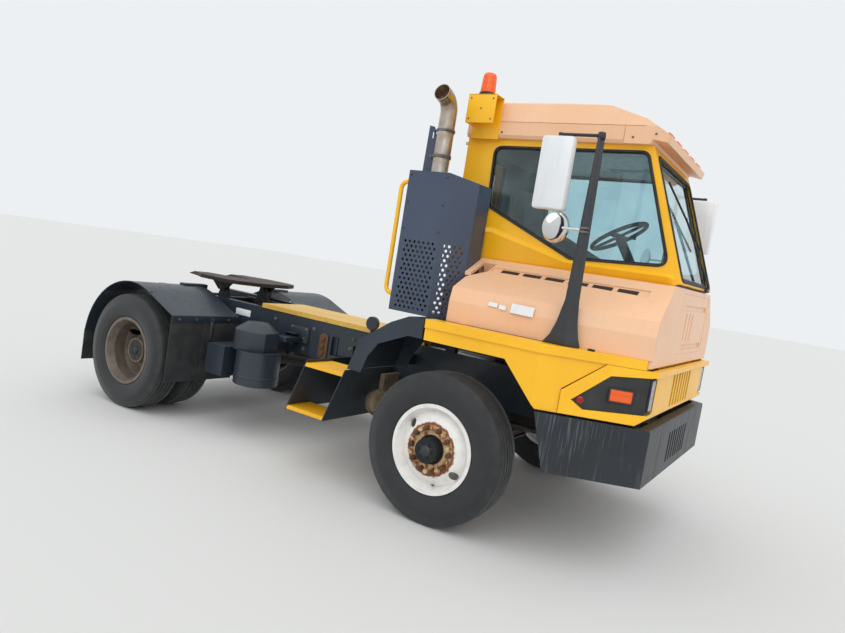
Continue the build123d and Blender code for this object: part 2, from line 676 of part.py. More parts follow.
def guard_wall(start, end, columns):
    """A flat screen of staggered round holes, let into the guard between two plan corners."""
    run = Vector(end[0] - start[0], end[1] - start[1], 0)
    face = Plane(origin=(start[0], start[1], SCREEN_LOW), x_dir=run, z_dir=run.cross(Vector(0, 0, 1)))
    width = run.length
    height = SCREEN_HIGH - SCREEN_LOW
    rows = int((height - 2 * HOLE_R) / HOLE_ROW)
    left = (width - (columns - 0.5) * HOLE_PITCH) / 2
    holes = Sketch()
    for row in range(rows):
        for column in range(columns):
            along = left + (column + 0.5 * (row % 2)) * HOLE_PITCH
            holes += Pos(along, HOLE_R + 8 + row * HOLE_ROW) * Circle(HOLE_R)
    sheet = face * (Pos(width / 2, height / 2) * Rectangle(width, height) - holes)
    return extrude(sheet, amount=-GUARD_WALL)


def make_guard():
    """Folded exhaust guard with two let-in screens of round holes, and the stack's bracket plate."""
    plan = [(GUARD_REAR_X, -GUARD_IN), (GUARD_REAR_X, -GUARD_OUT), (GUARD_FOLD_X, -GUARD_OUT),
            (GUARD_FRONT_X, -GUARD_FRONT_Y), (GUARD_FRONT_X, -GUARD_IN)]
    w = GUARD_WALL
    hollow = [(GUARD_REAR_X + w, -GUARD_IN + 50), (GUARD_REAR_X + w, -GUARD_OUT + w),
              (GUARD_FOLD_X - 2, -GUARD_OUT + w), (GUARD_FRONT_X - w, -GUARD_FRONT_Y + w + 2),
              (GUARD_FRONT_X - w, -GUARD_IN + 50)]
    guard = prism_z(plan, GUARD_BOTTOM - 15, GUARD_TOP_REAR) - prism_z(hollow, GUARD_BOTTOM,
                                                                       GUARD_TOP_REAR + 5)
    slope = prism_y([(GUARD_FOLD_X, GUARD_TOP_REAR), (GUARD_FRONT_X + 5, GUARD_TOP_FRONT),
                     (GUARD_FRONT_X + 5, GUARD_TOP_REAR + 5), (GUARD_FOLD_X, GUARD_TOP_REAR + 5)],
                    -GUARD_OUT - 5, -GUARD_IN + 5)
    guard -= slope
    # Openings for the screens: one in the outer wall, one in the wall that faces forward and out
    fold = Vector(GUARD_FOLD_X, -GUARD_OUT, 0)
    front = Vector(GUARD_FRONT_X, -GUARD_FRONT_Y, 0)
    run = (front - fold).normalized()
    near, far = fold + run * 8, front - run * 16
    walls = (((GUARD_REAR_X + SCREEN_MARGIN, -GUARD_OUT), (GUARD_FOLD_X - 8, -GUARD_OUT), 7),
             ((near.X, near.Y), (far.X, far.Y), 4))
    screens = []
    for start, end, columns in walls:
        along = Vector(end[0] - start[0], end[1] - start[1], 0)
        face = Plane(origin=(start[0], start[1], SCREEN_LOW), x_dir=along, z_dir=along.cross(Vector(0, 0, 1)))
        opening = Pos(along.length / 2, (SCREEN_HIGH - SCREEN_LOW) / 2) * Rectangle(
            along.length + 2 * SEAT_GAP, SCREEN_HIGH - SCREEN_LOW + 2 * SEAT_GAP)
        guard -= extrude(face * opening, amount=2 * w, both=True)
        screens.append(guard_wall(start, end, columns))
    # Bracket plate that holds the stack's upper clamp
    plate = prism_y([(GUARD_REAR_X + 1, GUARD_TOP_REAR - 80), (STACK_X - STACK_R - 6, GUARD_TOP_REAR - 80),
                     (STACK_X - STACK_R - 6, 2590), (-590, 2672), (-632, 2680)], STACK_Y + 3, STACK_Y + 9)
    plate -= prism_y([(-600, 2590), (-588, 2590), (-588, 2640), (-600, 2640)], STACK_Y - 10, STACK_Y + 20)
    guard += plate
    for screen in screens:
        guard += screen
    return guard


def make_stack():
    """Exhaust stack with its muffler, an S bend, two clamps and an open mouth."""
    path = FilletPolyline((STACK_X, STACK_Y, GUARD_BOTTOM), (STACK_X, STACK_Y, 2560),
                          (STACK_X + 30, STACK_Y, 2800),
                          (STACK_X - 120, STACK_Y, 2990), radius=130)
    outer = sweep(Plane(origin=path @ 0, z_dir=path % 0) * Circle(STACK_R), path=path)
    inner = sweep(Plane(origin=path @ 0, z_dir=path % 0) * Circle(STACK_R - STACK_WALL), path=path)
    muffler = rod((STACK_X, STACK_Y, MUFFLER_LOW), (STACK_X, STACK_Y, MUFFLER_HIGH), MUFFLER_R)
    clamp_low = rod((STACK_X, STACK_Y, 2447), (STACK_X, STACK_Y, 2471), STACK_R + 6)
    clamp_high = rod((STACK_X + 7, STACK_Y, 2632), (STACK_X + 9, STACK_Y, 2650), STACK_R + 5)
    ear = slab(-605, STACK_X - STACK_R + 12, STACK_Y - 4, STACK_Y + 3 - SEAT_GAP, 2632, 2650)
    return outer + muffler + clamp_low + clamp_high + ear - inner


def make_handle():
    """Grab handle on the rear edge of the exhaust guard."""
    x = GUARD_REAR_X - 70
    path = FilletPolyline((GUARD_REAR_X - 0.3, -GUARD_OUT + 30, 1450), (x, -GUARD_OUT + 30, 1450),
                          (x, -GUARD_OUT + 30, 2250), (GUARD_REAR_X - 0.3, -GUARD_OUT + 30, 2250), radius=50)
    return sweep(Plane(origin=path @ 0, z_dir=path % 0) * Circle(16), path=path)


def make_fender_arms():
    """Rear halves of the front wheel arches: bent plates with a deep outer flange."""
    top = [(-190, 1335), (-310, 1335), (-450, 1272), (-690, 1105), (-690, 1095), (-447, 1263), (-308, 1327),
           (-190, 1327)]
    plate = prism_y(top, FENDER_IN, 1170)
    edge = [(-190, 1335), (-310, 1335), (-450, 1272), (-690, 1105), (-760, 880), (-640, 880), (-600, 1005),
            (-530, 1105), (-300, 1205), (-190, 1205)]
    flange = prism_y(edge, 1160, 1170) + prism_y(edge, FENDER_IN, FENDER_IN + 10)
    rear = prism_y([(-690, 1105), (-760, 880), (-752, 878), (-684, 1095)], FENDER_IN, 1170)
    stay = slab(-720, -660, RAIL_OUT + SEAT_GAP, FENDER_IN + 1, 900, 980)
    return both(plate + flange + rear + stay)


def make_rear_fender():
    """Left rear arch over the dual wheels with its front flap."""
    outer_r = ARCH_R
    wall = 6.0
    ring = Pos(REAR_AXLE_X, 870, AXLE_Z) * Rot(90, 0, 0) * (Cylinder(outer_r, 730) - Cylinder(outer_r - wall,
                                                                                              740))
    keep = prism_y([(REAR_AXLE_X, AXLE_Z), (REAR_AXLE_X - 700, AXLE_Z + 60),
                    (REAR_AXLE_X - 700, AXLE_Z + 700),
                    (REAR_AXLE_X + 700, AXLE_Z + 700), (REAR_AXLE_X + 640, AXLE_Z + 60)], 480, 1300)
    arch = ring & keep
    flap = slab(REAR_AXLE_X + outer_r - 10, REAR_AXLE_X + outer_r - 2, 505, 1235, 350, AXLE_Z + 90)
    rear_flap = slab(REAR_AXLE_X - outer_r, REAR_AXLE_X - outer_r + 8, 505, 1235, 300, AXLE_Z + 80)
    arm = slab(REAR_AXLE_X - 40, REAR_AXLE_X + 40, RAIL_OUT + SEAT_GAP, 700, AXLE_Z + outer_r - 2,
               AXLE_Z + outer_r + 18)
    arm += slab(REAR_AXLE_X - 40, REAR_AXLE_X + 40, RAIL_OUT + SEAT_GAP, RAIL_OUT + 18, 960,
                AXLE_Z + outer_r + 18)
    return arch + flap + rear_flap + arm


def make_battery_box():
    """Battery box on the right rail, between the rear wheels and the air cleaner."""
    rear = REAR_AXLE_X + ARCH_R + BOX_GAP
    hanger = slab(rear + 50, rear + BOX_LENGTH - 50, -RAIL_OUT - 10, -RAIL_OUT - SEAT_GAP, 700, 850)
    return slab(rear, rear + BOX_LENGTH, -930, -RAIL_OUT - SEAT_GAP, 465, 722) + hanger


def make_air_cleaner():
    """Air cleaner drum under an eight sided cap, hung from the right rail."""
    x = REAR_AXLE_X + ARCH_R + BOX_GAP + BOX_LENGTH + CLEANER_GAP + CLEANER_CAP_HALF
    drum = rod((x, CLEANER_Y, CLEANER_LOW), (x, CLEANER_Y, CLEANER_CAP_LOW + 10), CLEANER_R)
    drum += rod((x, CLEANER_Y, CLEANER_LOW - 12), (x, CLEANER_Y, CLEANER_LOW + 1), CLEANER_R - 60)
    across = CLEANER_CAP_HALF / math.cos(math.pi / 8)
    low = Pos(x, CLEANER_Y, CLEANER_CAP_LOW) * Rot(0, 0, 22.5) * RegularPolygon(across, 8)
    drum += extrude(low, amount=CLEANER_CAP_HIGH - CLEANER_CAP_LOW)
    brim = Pos(x, CLEANER_Y, CLEANER_CAP_HIGH) * Rot(0, 0, 22.5) * RegularPolygon(across, 8)
    crown = Pos(x, CLEANER_Y, CLEANER_TOP) * Rot(0, 0, 22.5) * RegularPolygon(across * 0.45, 8)
    drum += loft([brim.face(), crown.face()], ruled=True)
    arm = slab(x + 60, x + 190, CLEANER_Y + 100, -RAIL_OUT - SEAT_GAP, 840, 880)
    return drum + arm + slab(x + 40, x + 260, -RAIL_OUT - 12, -RAIL_OUT - SEAT_GAP, 830, 975)


def make_fuel_tank():
    """Round cornered fuel tank with its straps on the left rail."""
    rear = REAR_AXLE_X + ARCH_R + TANK_GAP
    front = STEP_REAR_X - 100
    middle = Pos((rear + front) / 2, 740, 720) * Rot(0, 90, 0)
    tank = middle * extrude(RectangleRounded(560, 560, 120), amount=(front - rear) / 2, both=True)
    for x in (rear + 210, front - 210):
        strap = Pos(x, 740, 720) * Rot(0, 90, 0) * extrude(RectangleRounded(570, 570, 124), amount=30,
                                                           both=True)
        tank += strap
        tank += slab(x - 30, x + 30, RAIL_OUT + SEAT_GAP, 480, 740, 1000)
    return tank


def make_step_frame():
    """Left step carrier: two leaning side plates with a back plate on the rail."""
    carrier = None
    for x in (STEP_REAR_X, STEP_FRONT_X):
        plate = prism_y([(x, STEP_LOW_Z), (x + STEP_WALL, STEP_LOW_Z),
                         (x + STEP_WALL + STEP_LEAN, STEP_HIGH_Z),
                         (x + STEP_LEAN, STEP_HIGH_Z)], 470, STEP_OUT)
        carrier = plate if carrier is None else carrier + plate
    carrier += prism_y([(STEP_REAR_X, STEP_LOW_Z), (STEP_FRONT_X + STEP_WALL, STEP_LOW_Z),
                        (STEP_FRONT_X + STEP_WALL + STEP_LEAN, STEP_HIGH_Z),
                        (STEP_REAR_X + STEP_LEAN, STEP_HIGH_Z)],
                       470, 478)
    carrier += slab(-1150, -920, RAIL_OUT + SEAT_GAP, 471, 760, 850)
    return carrier + step_strap(STEP_REAR_X + 75, 795, 920)


def step_strap(x, low, high):
    """An angle on the left rail that holds the step carrier."""
    strap = slab(x - 6, x + 6, RAIL_OUT + SEAT_GAP, 471, low, high)
    strap += slab(x - 6, x + 46, RAIL_OUT + SEAT_GAP, RAIL_OUT + 8, low, high)
    return strap + slab(x - 6, x + 90, 463, 471, low, low + 40)


def make_step_frames():
    """Both step carriers; the right one has a second angle behind it, where the left has the tank."""
    x = STEP_REAR_X - 160
    strap = step_strap(x, 760, 955) + slab(x - 6, STEP_REAR_X + 100, 463, 471, 760, 800)
    return both(make_step_frame()) + other_side(strap)


def make_step_treads():
    """Two yellow treads in the left step carrier."""
    treads = None
    for z, inner in ((440.0, 850.0), (797.0, 800.0)):
        corners = []
        for level, base in ((z, STEP_REAR_X + STEP_WALL + 0.3), (z + 30, STEP_REAR_X + STEP_WALL + 0.3),
                            (z + 30, STEP_FRONT_X - 0.3), (z, STEP_FRONT_X - 0.3)):
            corners.append((base + STEP_LEAN * (level - STEP_LOW_Z) / (STEP_HIGH_Z - STEP_LOW_Z), level))
        tread = prism_y(corners, inner, STEP_OUT)
        treads = tread if treads is None else treads + tread
    return treads


def make_canister():
    """Brake chamber behind the right front wheel, in two halves with a clamp ring between them."""
    # Half outline of the chamber as (along its axis, radius)
    outline = [(0, 0), (0, 60), (12, 88), (58, 98), (64, 98), (64, 106), (82, 106), (82, 98), (124, 84),
               (132, 34), (168, 34), (168, 0)]
    face = Face(Wire.make_polygon([(r, 0, a) for a, r in outline], close=True))
    chamber = revolve(face, axis=Axis.Z)
    x, y, z = STEP_FRONT_X + 107, -628, 565
    can = Plane(origin=(x, y, z), z_dir=(0.93, -0.33, 0.1)) * chamber
    return can + slab(x + 40, x + 80, y - 12, -RAIL_OUT - SEAT_GAP, z + 75, z + 235)


def make_tail_lamps():
    """Lamp boxes on the tail of the frame."""
    lamp = slab(TAIL_X, TAIL_X + 14.7, 250, 420, 860, 940)
    return both(lamp)


# Boom and fifth wheel


def make_boom():
    """Lift boom: two plate arms with a foot tube, a rear deck and the plate's bearings."""
    arm = prism_y([(BOOM_PIVOT_X + 60, BOOM_LOW_BOTTOM), (BOOM_PIVOT_X + 60, BOOM_PIVOT_Z + 60),
                   (BOOM_PIVOT_X - 60, BOOM_LOW_TOP), (BOOM_STEP_X, BOOM_LOW_TOP),
                   (BOOM_STEP_X - 20, BOOM_HIGH_TOP), (BOOM_END_X, BOOM_HIGH_TOP),
                   (BOOM_END_X, BOOM_HIGH_BOTTOM),
                   (BOOM_STEP_X - 80, BOOM_HIGH_BOTTOM), (BOOM_STEP_X - 10, BOOM_LOW_BOTTOM)],
                  BOOM_ARM_IN, BOOM_ARM_OUT)
    arm -= rod((BOOM_PIVOT_X, BOOM_ARM_IN - 1, BOOM_PIVOT_Z), (BOOM_PIVOT_X, BOOM_ARM_OUT + 1, BOOM_PIVOT_Z),
               BOOM_PIN_R + PIN_GAP)
    slot = prism_y([(LIFT_EYE_X - 75, BOOM_HIGH_BOTTOM - 1), (LIFT_EYE_X - 75, BOOM_HIGH_TOP - 22),
                    (LIFT_EYE_X + 95, BOOM_HIGH_TOP - 22), (LIFT_EYE_X + 95, BOOM_HIGH_BOTTOM - 1)],
                   LIFT_Y - 30, LIFT_Y + 30)
    arm -= slot
    arm += rod((LIFT_EYE_X, BOOM_ARM_IN, LIFT_EYE_Z), (LIFT_EYE_X, BOOM_ARM_OUT, LIFT_EYE_Z), 16)
    ear = prism_y([(FIFTH_X - 80, BOOM_HIGH_TOP - 5), (FIFTH_X - 40, FIFTH_PIN_Z + 25),
                   (FIFTH_X + 40, FIFTH_PIN_Z + 25),
                   (FIFTH_X + 80, BOOM_HIGH_TOP - 5)], 250, 280)
    boom = both(arm + ear)
    boom += slab(BOOM_END_X, BOOM_END_X + 90, -BOOM_ARM_IN - 1, BOOM_ARM_IN + 1, BOOM_HIGH_BOTTOM + 10,
                 BOOM_HIGH_TOP - 10)
    boom += slab(BOOM_STEP_X - 120, BOOM_STEP_X - 40, -BOOM_ARM_IN - 1, BOOM_ARM_IN + 1,
                 BOOM_HIGH_BOTTOM + 10,
                 BOOM_HIGH_TOP - 10)
    boom += both(rod((FIFTH_X, 240, FIFTH_PIN_Z), (FIFTH_X, 320, FIFTH_PIN_Z), FIFTH_PIN_R))
    return boom


def make_fifth_wheel():
    """Fifth wheel plate with a throat, rear horns and side ribs."""
    x = FIFTH_X
    plan = [(x + 400, 200), (x + 300, FIFTH_HALF - 60), (x + 180, FIFTH_HALF), (x - 150, FIFTH_HALF),
            (x - 300, FIFTH_HALF - 80), (x - 400, 330), (x - 520, 290), (x - 520, 190), (x - 60, 45)]
    plan = plan + [(px, -py) for px, py in reversed(plan)]
    plate = prism_z(plan, FIFTH_TOP - FIFTH_PLATE, FIFTH_TOP)
    plate += rod((x, 0, FIFTH_TOP - FIFTH_PLATE), (x, 0, FIFTH_TOP), 120)
    plate -= rod((x, 0, FIFTH_TOP - 80), (x, 0, FIFTH_TOP + 1), KINGPIN_BORE_R)
    plate -= slab(x - 160, x, -KINGPIN_BORE_R, KINGPIN_BORE_R, FIFTH_TOP - 80, FIFTH_TOP + 1)
    cut = prism_y([(x - 400, FIFTH_TOP + 1), (x - 530, FIFTH_TOP + 1), (x - 530, FIFTH_TOP - 30)], -500, 500)
    plate -= cut
    rib = prism_y([(x - 150, FIFTH_TOP - FIFTH_PLATE + 1), (x - 40, FIFTH_PIN_Z - 30),
                   (x + 40, FIFTH_PIN_Z - 30),
                   (x + 150, FIFTH_TOP - FIFTH_PLATE + 1)], 290, 315)
    rib -= rod((x, 280, FIFTH_PIN_Z), (x, 330, FIFTH_PIN_Z), FIFTH_PIN_R + PIN_GAP)
    return plate + both(rib)


def make_lift_barrel():
    """Left lift cylinder barrel with its foot eye."""
    foot = Vector(LIFT_FOOT_X, LIFT_Y, LIFT_FOOT_Z)
    eye = Vector(LIFT_EYE_X, LIFT_Y, LIFT_EYE_Z)
    line = (eye - foot).normalized()
    top = foot + line * LIFT_BARREL_LENGTH
    barrel = rod(tuple(foot + line * 30), tuple(top), LIFT_BARREL_R)
    lug = rod((LIFT_FOOT_X, LIFT_Y - 22, LIFT_FOOT_Z), (LIFT_FOOT_X, LIFT_Y + 22, LIFT_FOOT_Z), 36)
    barrel = barrel + lug
    barrel -= rod((LIFT_FOOT_X, LIFT_Y - 60, LIFT_FOOT_Z), (LIFT_FOOT_X, LIFT_Y + 60, LIFT_FOOT_Z),
                  18 + PIN_GAP)
    return barrel - rod(tuple(foot + line * 46), tuple(top + line * 5), LIFT_ROD_R + PIN_GAP)


def make_lift_rod():
    """Left lift cylinder rod with its eye open at the bottom for the boom's pin."""
    foot = Vector(LIFT_FOOT_X, LIFT_Y, LIFT_FOOT_Z)
    eye = Vector(LIFT_EYE_X, LIFT_Y, LIFT_EYE_Z)
    line = (eye - foot).normalized()
    return rod(tuple(foot + line * 50), tuple(eye - line * 26), LIFT_ROD_R)


# Cab and what rides on it


def make_tilt_frame():
    """Cab subframe: long beams on each side with hinge legs at the front."""
    beam_top = CAB_FLOOR_TOP - CAB_FLOOR - 0.3
    beam = slab(-430, TILT_X + 25, 355, 425, TILT_BEAM_Z, beam_top)
    leg = slab(TILT_X - 22, TILT_X + 22, 375, 405, TILT_Z + 5, TILT_BEAM_Z + 1)
    leg += rod((TILT_X, 375, TILT_Z), (TILT_X, 405, TILT_Z), TILT_LUG_R)
    leg -= rod((TILT_X, 360, TILT_Z), (TILT_X, 440, TILT_Z), TILT_PIN_R + PIN_GAP)
    frame = both(beam + leg)
    for x in (-400, 300, 1100):
        frame += slab(x, x + 60, -356, 356, 1215, beam_top)
    frame += slab(JACK_EYE_X - 40, JACK_EYE_X + 40, -JACK_Y - 20, -424, JACK_EYE_Z + 22, beam_top)
    return frame


def cab_side(inset):
    """Side outline of the cab, moved inwards by an inset."""
    screen = math.atan2(SCREEN_FOOT_X - SCREEN_TOP_X, SCREEN_TOP_Z - SCREEN_FOOT_Z)
    back = inset / math.cos(screen)
    top = CAB_TOP - inset
    floor = CAB_FLOOR_TOP - CAB_FLOOR + inset
    slope = math.tan(screen)
    top_x = SCREEN_TOP_X - (top - SCREEN_TOP_Z) * slope - back
    foot_x = SCREEN_FOOT_X - back
    front_x = HOOD_FRONT_X - HOOD_WALL - CAB_GAP - inset
    knee_z = SCREEN_FOOT_Z - 12
    return [(CAB_REAR_X + inset, floor), (CAB_REAR_X + inset, top), (top_x, top), (foot_x, SCREEN_FOOT_Z),
            (front_x, knee_z), (front_x, floor)]


# Corners of a side window as (x, z), before its corners are rounded
SIDE_WINDOW = [(-203.0, 2600.0), (-189.0, 2178.0), (485.0, 1883.0), (1128.0, 1917.0), (881.0, 2615.0)]
WINDOW_CORNER_R = 60.0


def window_prism(inset, y0, y1):
    """The side window's rounded outline, moved inwards by an inset, from y0 to y1."""
    edge = FilletPolyline(*[(x, 0, z) for x, z in SIDE_WINDOW], radius=WINDOW_CORNER_R, close=True)
    pane = Face(Wire(edge.edges()))
    if inset:
        pane = offset(pane, amount=-inset).face()
    return extrude(Pos(0, y0, 0) * pane, amount=y1 - y0, dir=(0, 1, 0))


def make_cab_shell():
    """Hollow steel cab with side windows, windscreen opening and rear doorway."""
    shell = prism_y(cab_side(0), -CAB_HALF, CAB_HALF)
    shell -= prism_y(cab_side(CAB_WALL), -CAB_HALF + CAB_WALL, CAB_HALF - CAB_WALL)
    shell -= window_prism(0, -CAB_HALF - 5, CAB_HALF + 5)
    shell -= slab(600, 1500, -CAB_HALF + 48, CAB_HALF - 48, SCREEN_FOOT_Z + 20, SCREEN_TOP_Z - 20) & prism_y(
        [(500, SCREEN_FOOT_Z + 20), (760, SCREEN_TOP_Z), (1500, SCREEN_TOP_Z), (1500, SCREEN_FOOT_Z + 20)],
        -CAB_HALF, CAB_HALF)
    shell -= slab(CAB_REAR_X - 5, CAB_REAR_X + CAB_WALL + 5, DOOR_OPEN_RIGHT, DOOR_OPEN_LEFT,
                  DOOR_OPEN_BOTTOM,
                  DOOR_OPEN_TOP)
    # Rails that the sliding door runs on
    shell += slab(CAB_REAR_X - 20, CAB_REAR_X + 5, -CAB_HALF, CAB_HALF, DOOR_OPEN_TOP + 45,
                  DOOR_OPEN_TOP + 45 + DOOR_RAIL)
    shell += slab(CAB_REAR_X - 20, CAB_REAR_X + 5, -CAB_HALF, CAB_HALF, CAB_FLOOR_TOP - CAB_FLOOR,
                  CAB_FLOOR_TOP - CAB_FLOOR + DOOR_RAIL)
    shell += both(cab_crease())
    return shell


def cab_crease():
    """The crease on the cab's left side: proud along its ridge, flush at its ends."""
    sections = []
    # Columns: x, height of the ridge, how far the ridge stands out, height of the upper edge
    for x, ridge, proud, top in ((CAB_REAR_X + 3, 1992.0, 3.0, 2010.0),
                                 (-115.0, 1992.0, CREASE_PROUD, 2030.0),
                                 (468.0, 1850.0, CREASE_PROUD, 1879.0),
                                 (1150.0, 1850.0, CREASE_PROUD, 1876.0),
                                 (HOOD_FRONT_X - 30, 1846.0, 3.0, 1850.0)):
        corners = [(CAB_HALF - 4, top), (CAB_HALF + proud, ridge), (CAB_HALF + 2, CREASE_LOW_Z),
                   (CAB_HALF - 4, CREASE_LOW_Z)]
        sections.append(Wire.make_polygon([(x, y, z) for y, z in corners], close=True))
    return Solid.make_loft(sections, ruled=True)


def hood_section(x, half, top_half, inset):
    """One cross outline of the hood at x."""
    w = half - inset
    high = HOOD_TOP - inset
    right = [(w, DECK_RAIL_TOP), (w, HOOD_BEND_LOW), (w - HOOD_LEAN, HOOD_BEND_HIGH), (top_half, high)]
    if inset:
        right[0] = (w, DECK_RAIL_TOP - 10)
    points = right + [(-y, z) for y, z in reversed(right)]
    return Wire.make_polygon([(x, y, z) for y, z in points], close=True)


def hood_solid(inset, rear, front):
    """The hood's outer or inner body as a ruled loft through three sections."""
    corner = TAPER_START_X
    sections = []
    for x in (rear, corner, front):
        share = max(0.0, (x - corner) / (HOOD_FRONT_X - corner))
        top_half = HOOD_TOP_HALF_REAR + share * (HOOD_TOP_HALF_FRONT - HOOD_TOP_HALF_REAR)
        sections.append(hood_section(x, taper_half(x, HOOD_INSET * (1 - share)), top_half - inset * 0.5,
                                     inset))
    return Solid.make_loft(sections, ruled=True)


def hood_slant(x, z):
    """A frame on the right slanting side of the hood at x and z: X forward, Y up the slant, Z outwards."""
    stations = (HOOD_REAR_X, TAPER_START_X, HOOD_FRONT_X)
    feet = (taper_half(stations[0], HOOD_INSET), taper_half(stations[1], HOOD_INSET),
            taper_half(stations[2], 0))
    tops = (HOOD_TOP_HALF_REAR, HOOD_TOP_HALF_REAR, HOOD_TOP_HALF_FRONT)
    i = 0 if x < stations[1] else 1
    share = (x - stations[i]) / (stations[i + 1] - stations[i])
    low = feet[i] + share * (feet[i + 1] - feet[i]) - HOOD_LEAN
    high = tops[i] + share * (tops[i + 1] - tops[i])
    slant = Vector(0, low - high, HOOD_TOP - HOOD_BEND_HIGH).normalized()
    y = low - (low - high) * (z - HOOD_BEND_HIGH) / (HOOD_TOP - HOOD_BEND_HIGH)
    return Plane(origin=(x, -y, z), x_dir=(1, 0, 0), z_dir=(0, -slant.Z, slant.Y))


def hood_vents():
    """The sunk strip with its vent slots in the right slanting side of the hood."""
    cut = Part()
    for i in range(VENTS):
        middle = VENT_REAR_X + VENT_LENGTH / 2 + i * VENT_PITCH
        face = hood_slant(middle, VENT_Z)
        ends = VENT_STRIP_MARGIN if i in (0, VENTS - 1) else 0
        shift = -ends / 2 if i == 0 else ends / 2
        strip = face * Pos(shift, 0, 0) * Box(VENT_PITCH + ends + 2, VENT_STRIP_HEIGHT, 2 * VENT_STRIP_SINK)
        cut += strip + face * Box(VENT_LENGTH, VENT_HEIGHT, 4 * HOOD_WALL)
    return cut


def hood_scoop(grow):
    """The scoop in the hood's right rear end as a prism sunk square to the slant, grown by a wall."""
    face = hood_slant(HOOD_REAR_X, HOOD_TOP)
    run = SCOOP_FRONT_X - HOOD_REAR_X + grow
    # Corners as (along the hood from its rear end, up the slant from its top edge)
    corners = [(-60, -SCOOP_TOP_DOWN + grow), (run, -SCOOP_TOP_DOWN + grow),
               (run, -SCOOP_LOW_DOWN - grow / 2),
               (-60, -SCOOP_FOOT_DOWN - 60 - grow)]
    outline = Polyline(*corners, close=True)
    sheet = make_face(outline)
    return extrude(face * sheet, amount=-SCOOP_SINK - grow) + extrude(face * sheet, amount=60)


def make_hood():
    """Peach coloured shell around the cab's foot, with vent slots and a scoop beside the guard."""
    outer = Part() + hood_solid(0, HOOD_REAR_X, HOOD_FRONT_X)
    hood = outer - hood_solid(HOOD_WALL, HOOD_REAR_X + HOOD_WALL, HOOD_FRONT_X - HOOD_WALL)
    hood += outer & hood_scoop(HOOD_WALL / 2)
    hood -= hood_scoop(0)
    hood -= slab(HOOD_REAR_X - 5, HOOD_FRONT_X - HOOD_WALL, -CAB_HALF - CAB_GAP, CAB_HALF + CAB_GAP,
                 1200, HOOD_TOP + 50)
    hood += slab(HOOD_FRONT_X - HOOD_WALL, HOOD_FRONT_X, -HOOD_LIP_HALF, HOOD_LIP_HALF, HOOD_LIP_Z,
                 DECK_RAIL_TOP + 1)
    hood -= slab(HOOD_FRONT_X - HOOD_WALL - 5, HOOD_FRONT_X + 5, PANEL_RIGHT - SEAT_GAP,
                 PANEL_LEFT + SEAT_GAP,
                 PANEL_LOW - SEAT_GAP, PANEL_HIGH + SEAT_GAP)
    return hood - both(hood_vents())


def make_front_panel():
    """Removable front panel of the hood with three sunk slots between two swages."""
    face = HOOD_FRONT_X - 2
    panel = slab(HOOD_FRONT_X - HOOD_WALL, face, PANEL_RIGHT, PANEL_LEFT, PANEL_LOW, PANEL_HIGH)
    # Swages: right end, bottom
    for right, low in ((PANEL_RIGHT + 120, PANEL_HIGH - 110), (PANEL_RIGHT + 170, PANEL_LOW + 28)):
        panel -= slab(face - SWAGE_DEPTH, face + 5, right, PANEL_LEFT - 50, low, low + SWAGE_HEIGHT)
    low = PANEL_LOW + 85
    for i in range(PANEL_SLOTS):
        y = PANEL_RIGHT + 180 + i * PANEL_SLOT_PITCH
        slot = prism_x([(y, low), (y + PANEL_SLOT_WIDTH, low),
                        (y + PANEL_SLOT_WIDTH + 8, low + PANEL_SLOT_LENGTH),
                        (y + 8, low + PANEL_SLOT_LENGTH)], face - SWAGE_DEPTH, face + 5)
        panel -= slot
    return panel


def make_skirt():
    """Yellow deck rail round the hood's foot with the side skirts below it."""
    rail = taper_band(SKIRT_REAR_X, DECK_RAIL_FRONT_X, 0, DECK_RAIL_WIDTH, DECK_RAIL_BOTTOM,
                      DECK_RAIL_TOP - SEAT_GAP)
    wall = taper_band(SKIRT_REAR_X, DECK_RAIL_FRONT_X, SKIRT_INSET, SKIRT_WALL, SKIRT_LOW_Z,
                      DECK_RAIL_BOTTOM + 1)
    side = prism_y([(SKIRT_REAR_X, DECK_RAIL_BOTTOM + 1), (SKIRT_REAR_X, SKIRT_BOTTOM),
                    (ARCH_FRONT_X, SKIRT_BOTTOM),
                    (ARCH_LOW_X, SKIRT_LOW_Z), (SEAM_X, SKIRT_LOW_Z), (SEAM_X, FASCIA_RISE_Z),
                    (FASCIA_RISE_X, DECK_RAIL_BOTTOM - 1), (FASCIA_RISE_X, DECK_RAIL_BOTTOM + 1)],
                   -HALF_WIDTH - 5, HALF_WIDTH + 5)
    skirt = rail + (wall & side)
    # The rail ends behind the hood's front lip, and leaves the cab's foot free
    front_x = HOOD_FRONT_X - HOOD_WALL - SEAT_GAP
    skirt -= slab(front_x, FASCIA_FRONT_X, -HALF_WIDTH, HALF_WIDTH, DECK_RAIL_BOTTOM - 5, DECK_RAIL_TOP + 5)
    skirt -= slab(0, FASCIA_FRONT_X, -CAB_HALF - SEAT_GAP, CAB_HALF + SEAT_GAP, DECK_RAIL_BOTTOM - 5,
                  DECK_RAIL_TOP + 5)
    # Arms that carry the rail from the cab's foot
    for x in (0.0, 560.0):
        skirt += both(slab(x, x + 50, CAB_HALF + SEAT_GAP, HALF_WIDTH - DECK_RAIL_WIDTH + 10,
                           DECK_RAIL_BOTTOM + 5,
                           DECK_RAIL_TOP - 5))
    return skirt


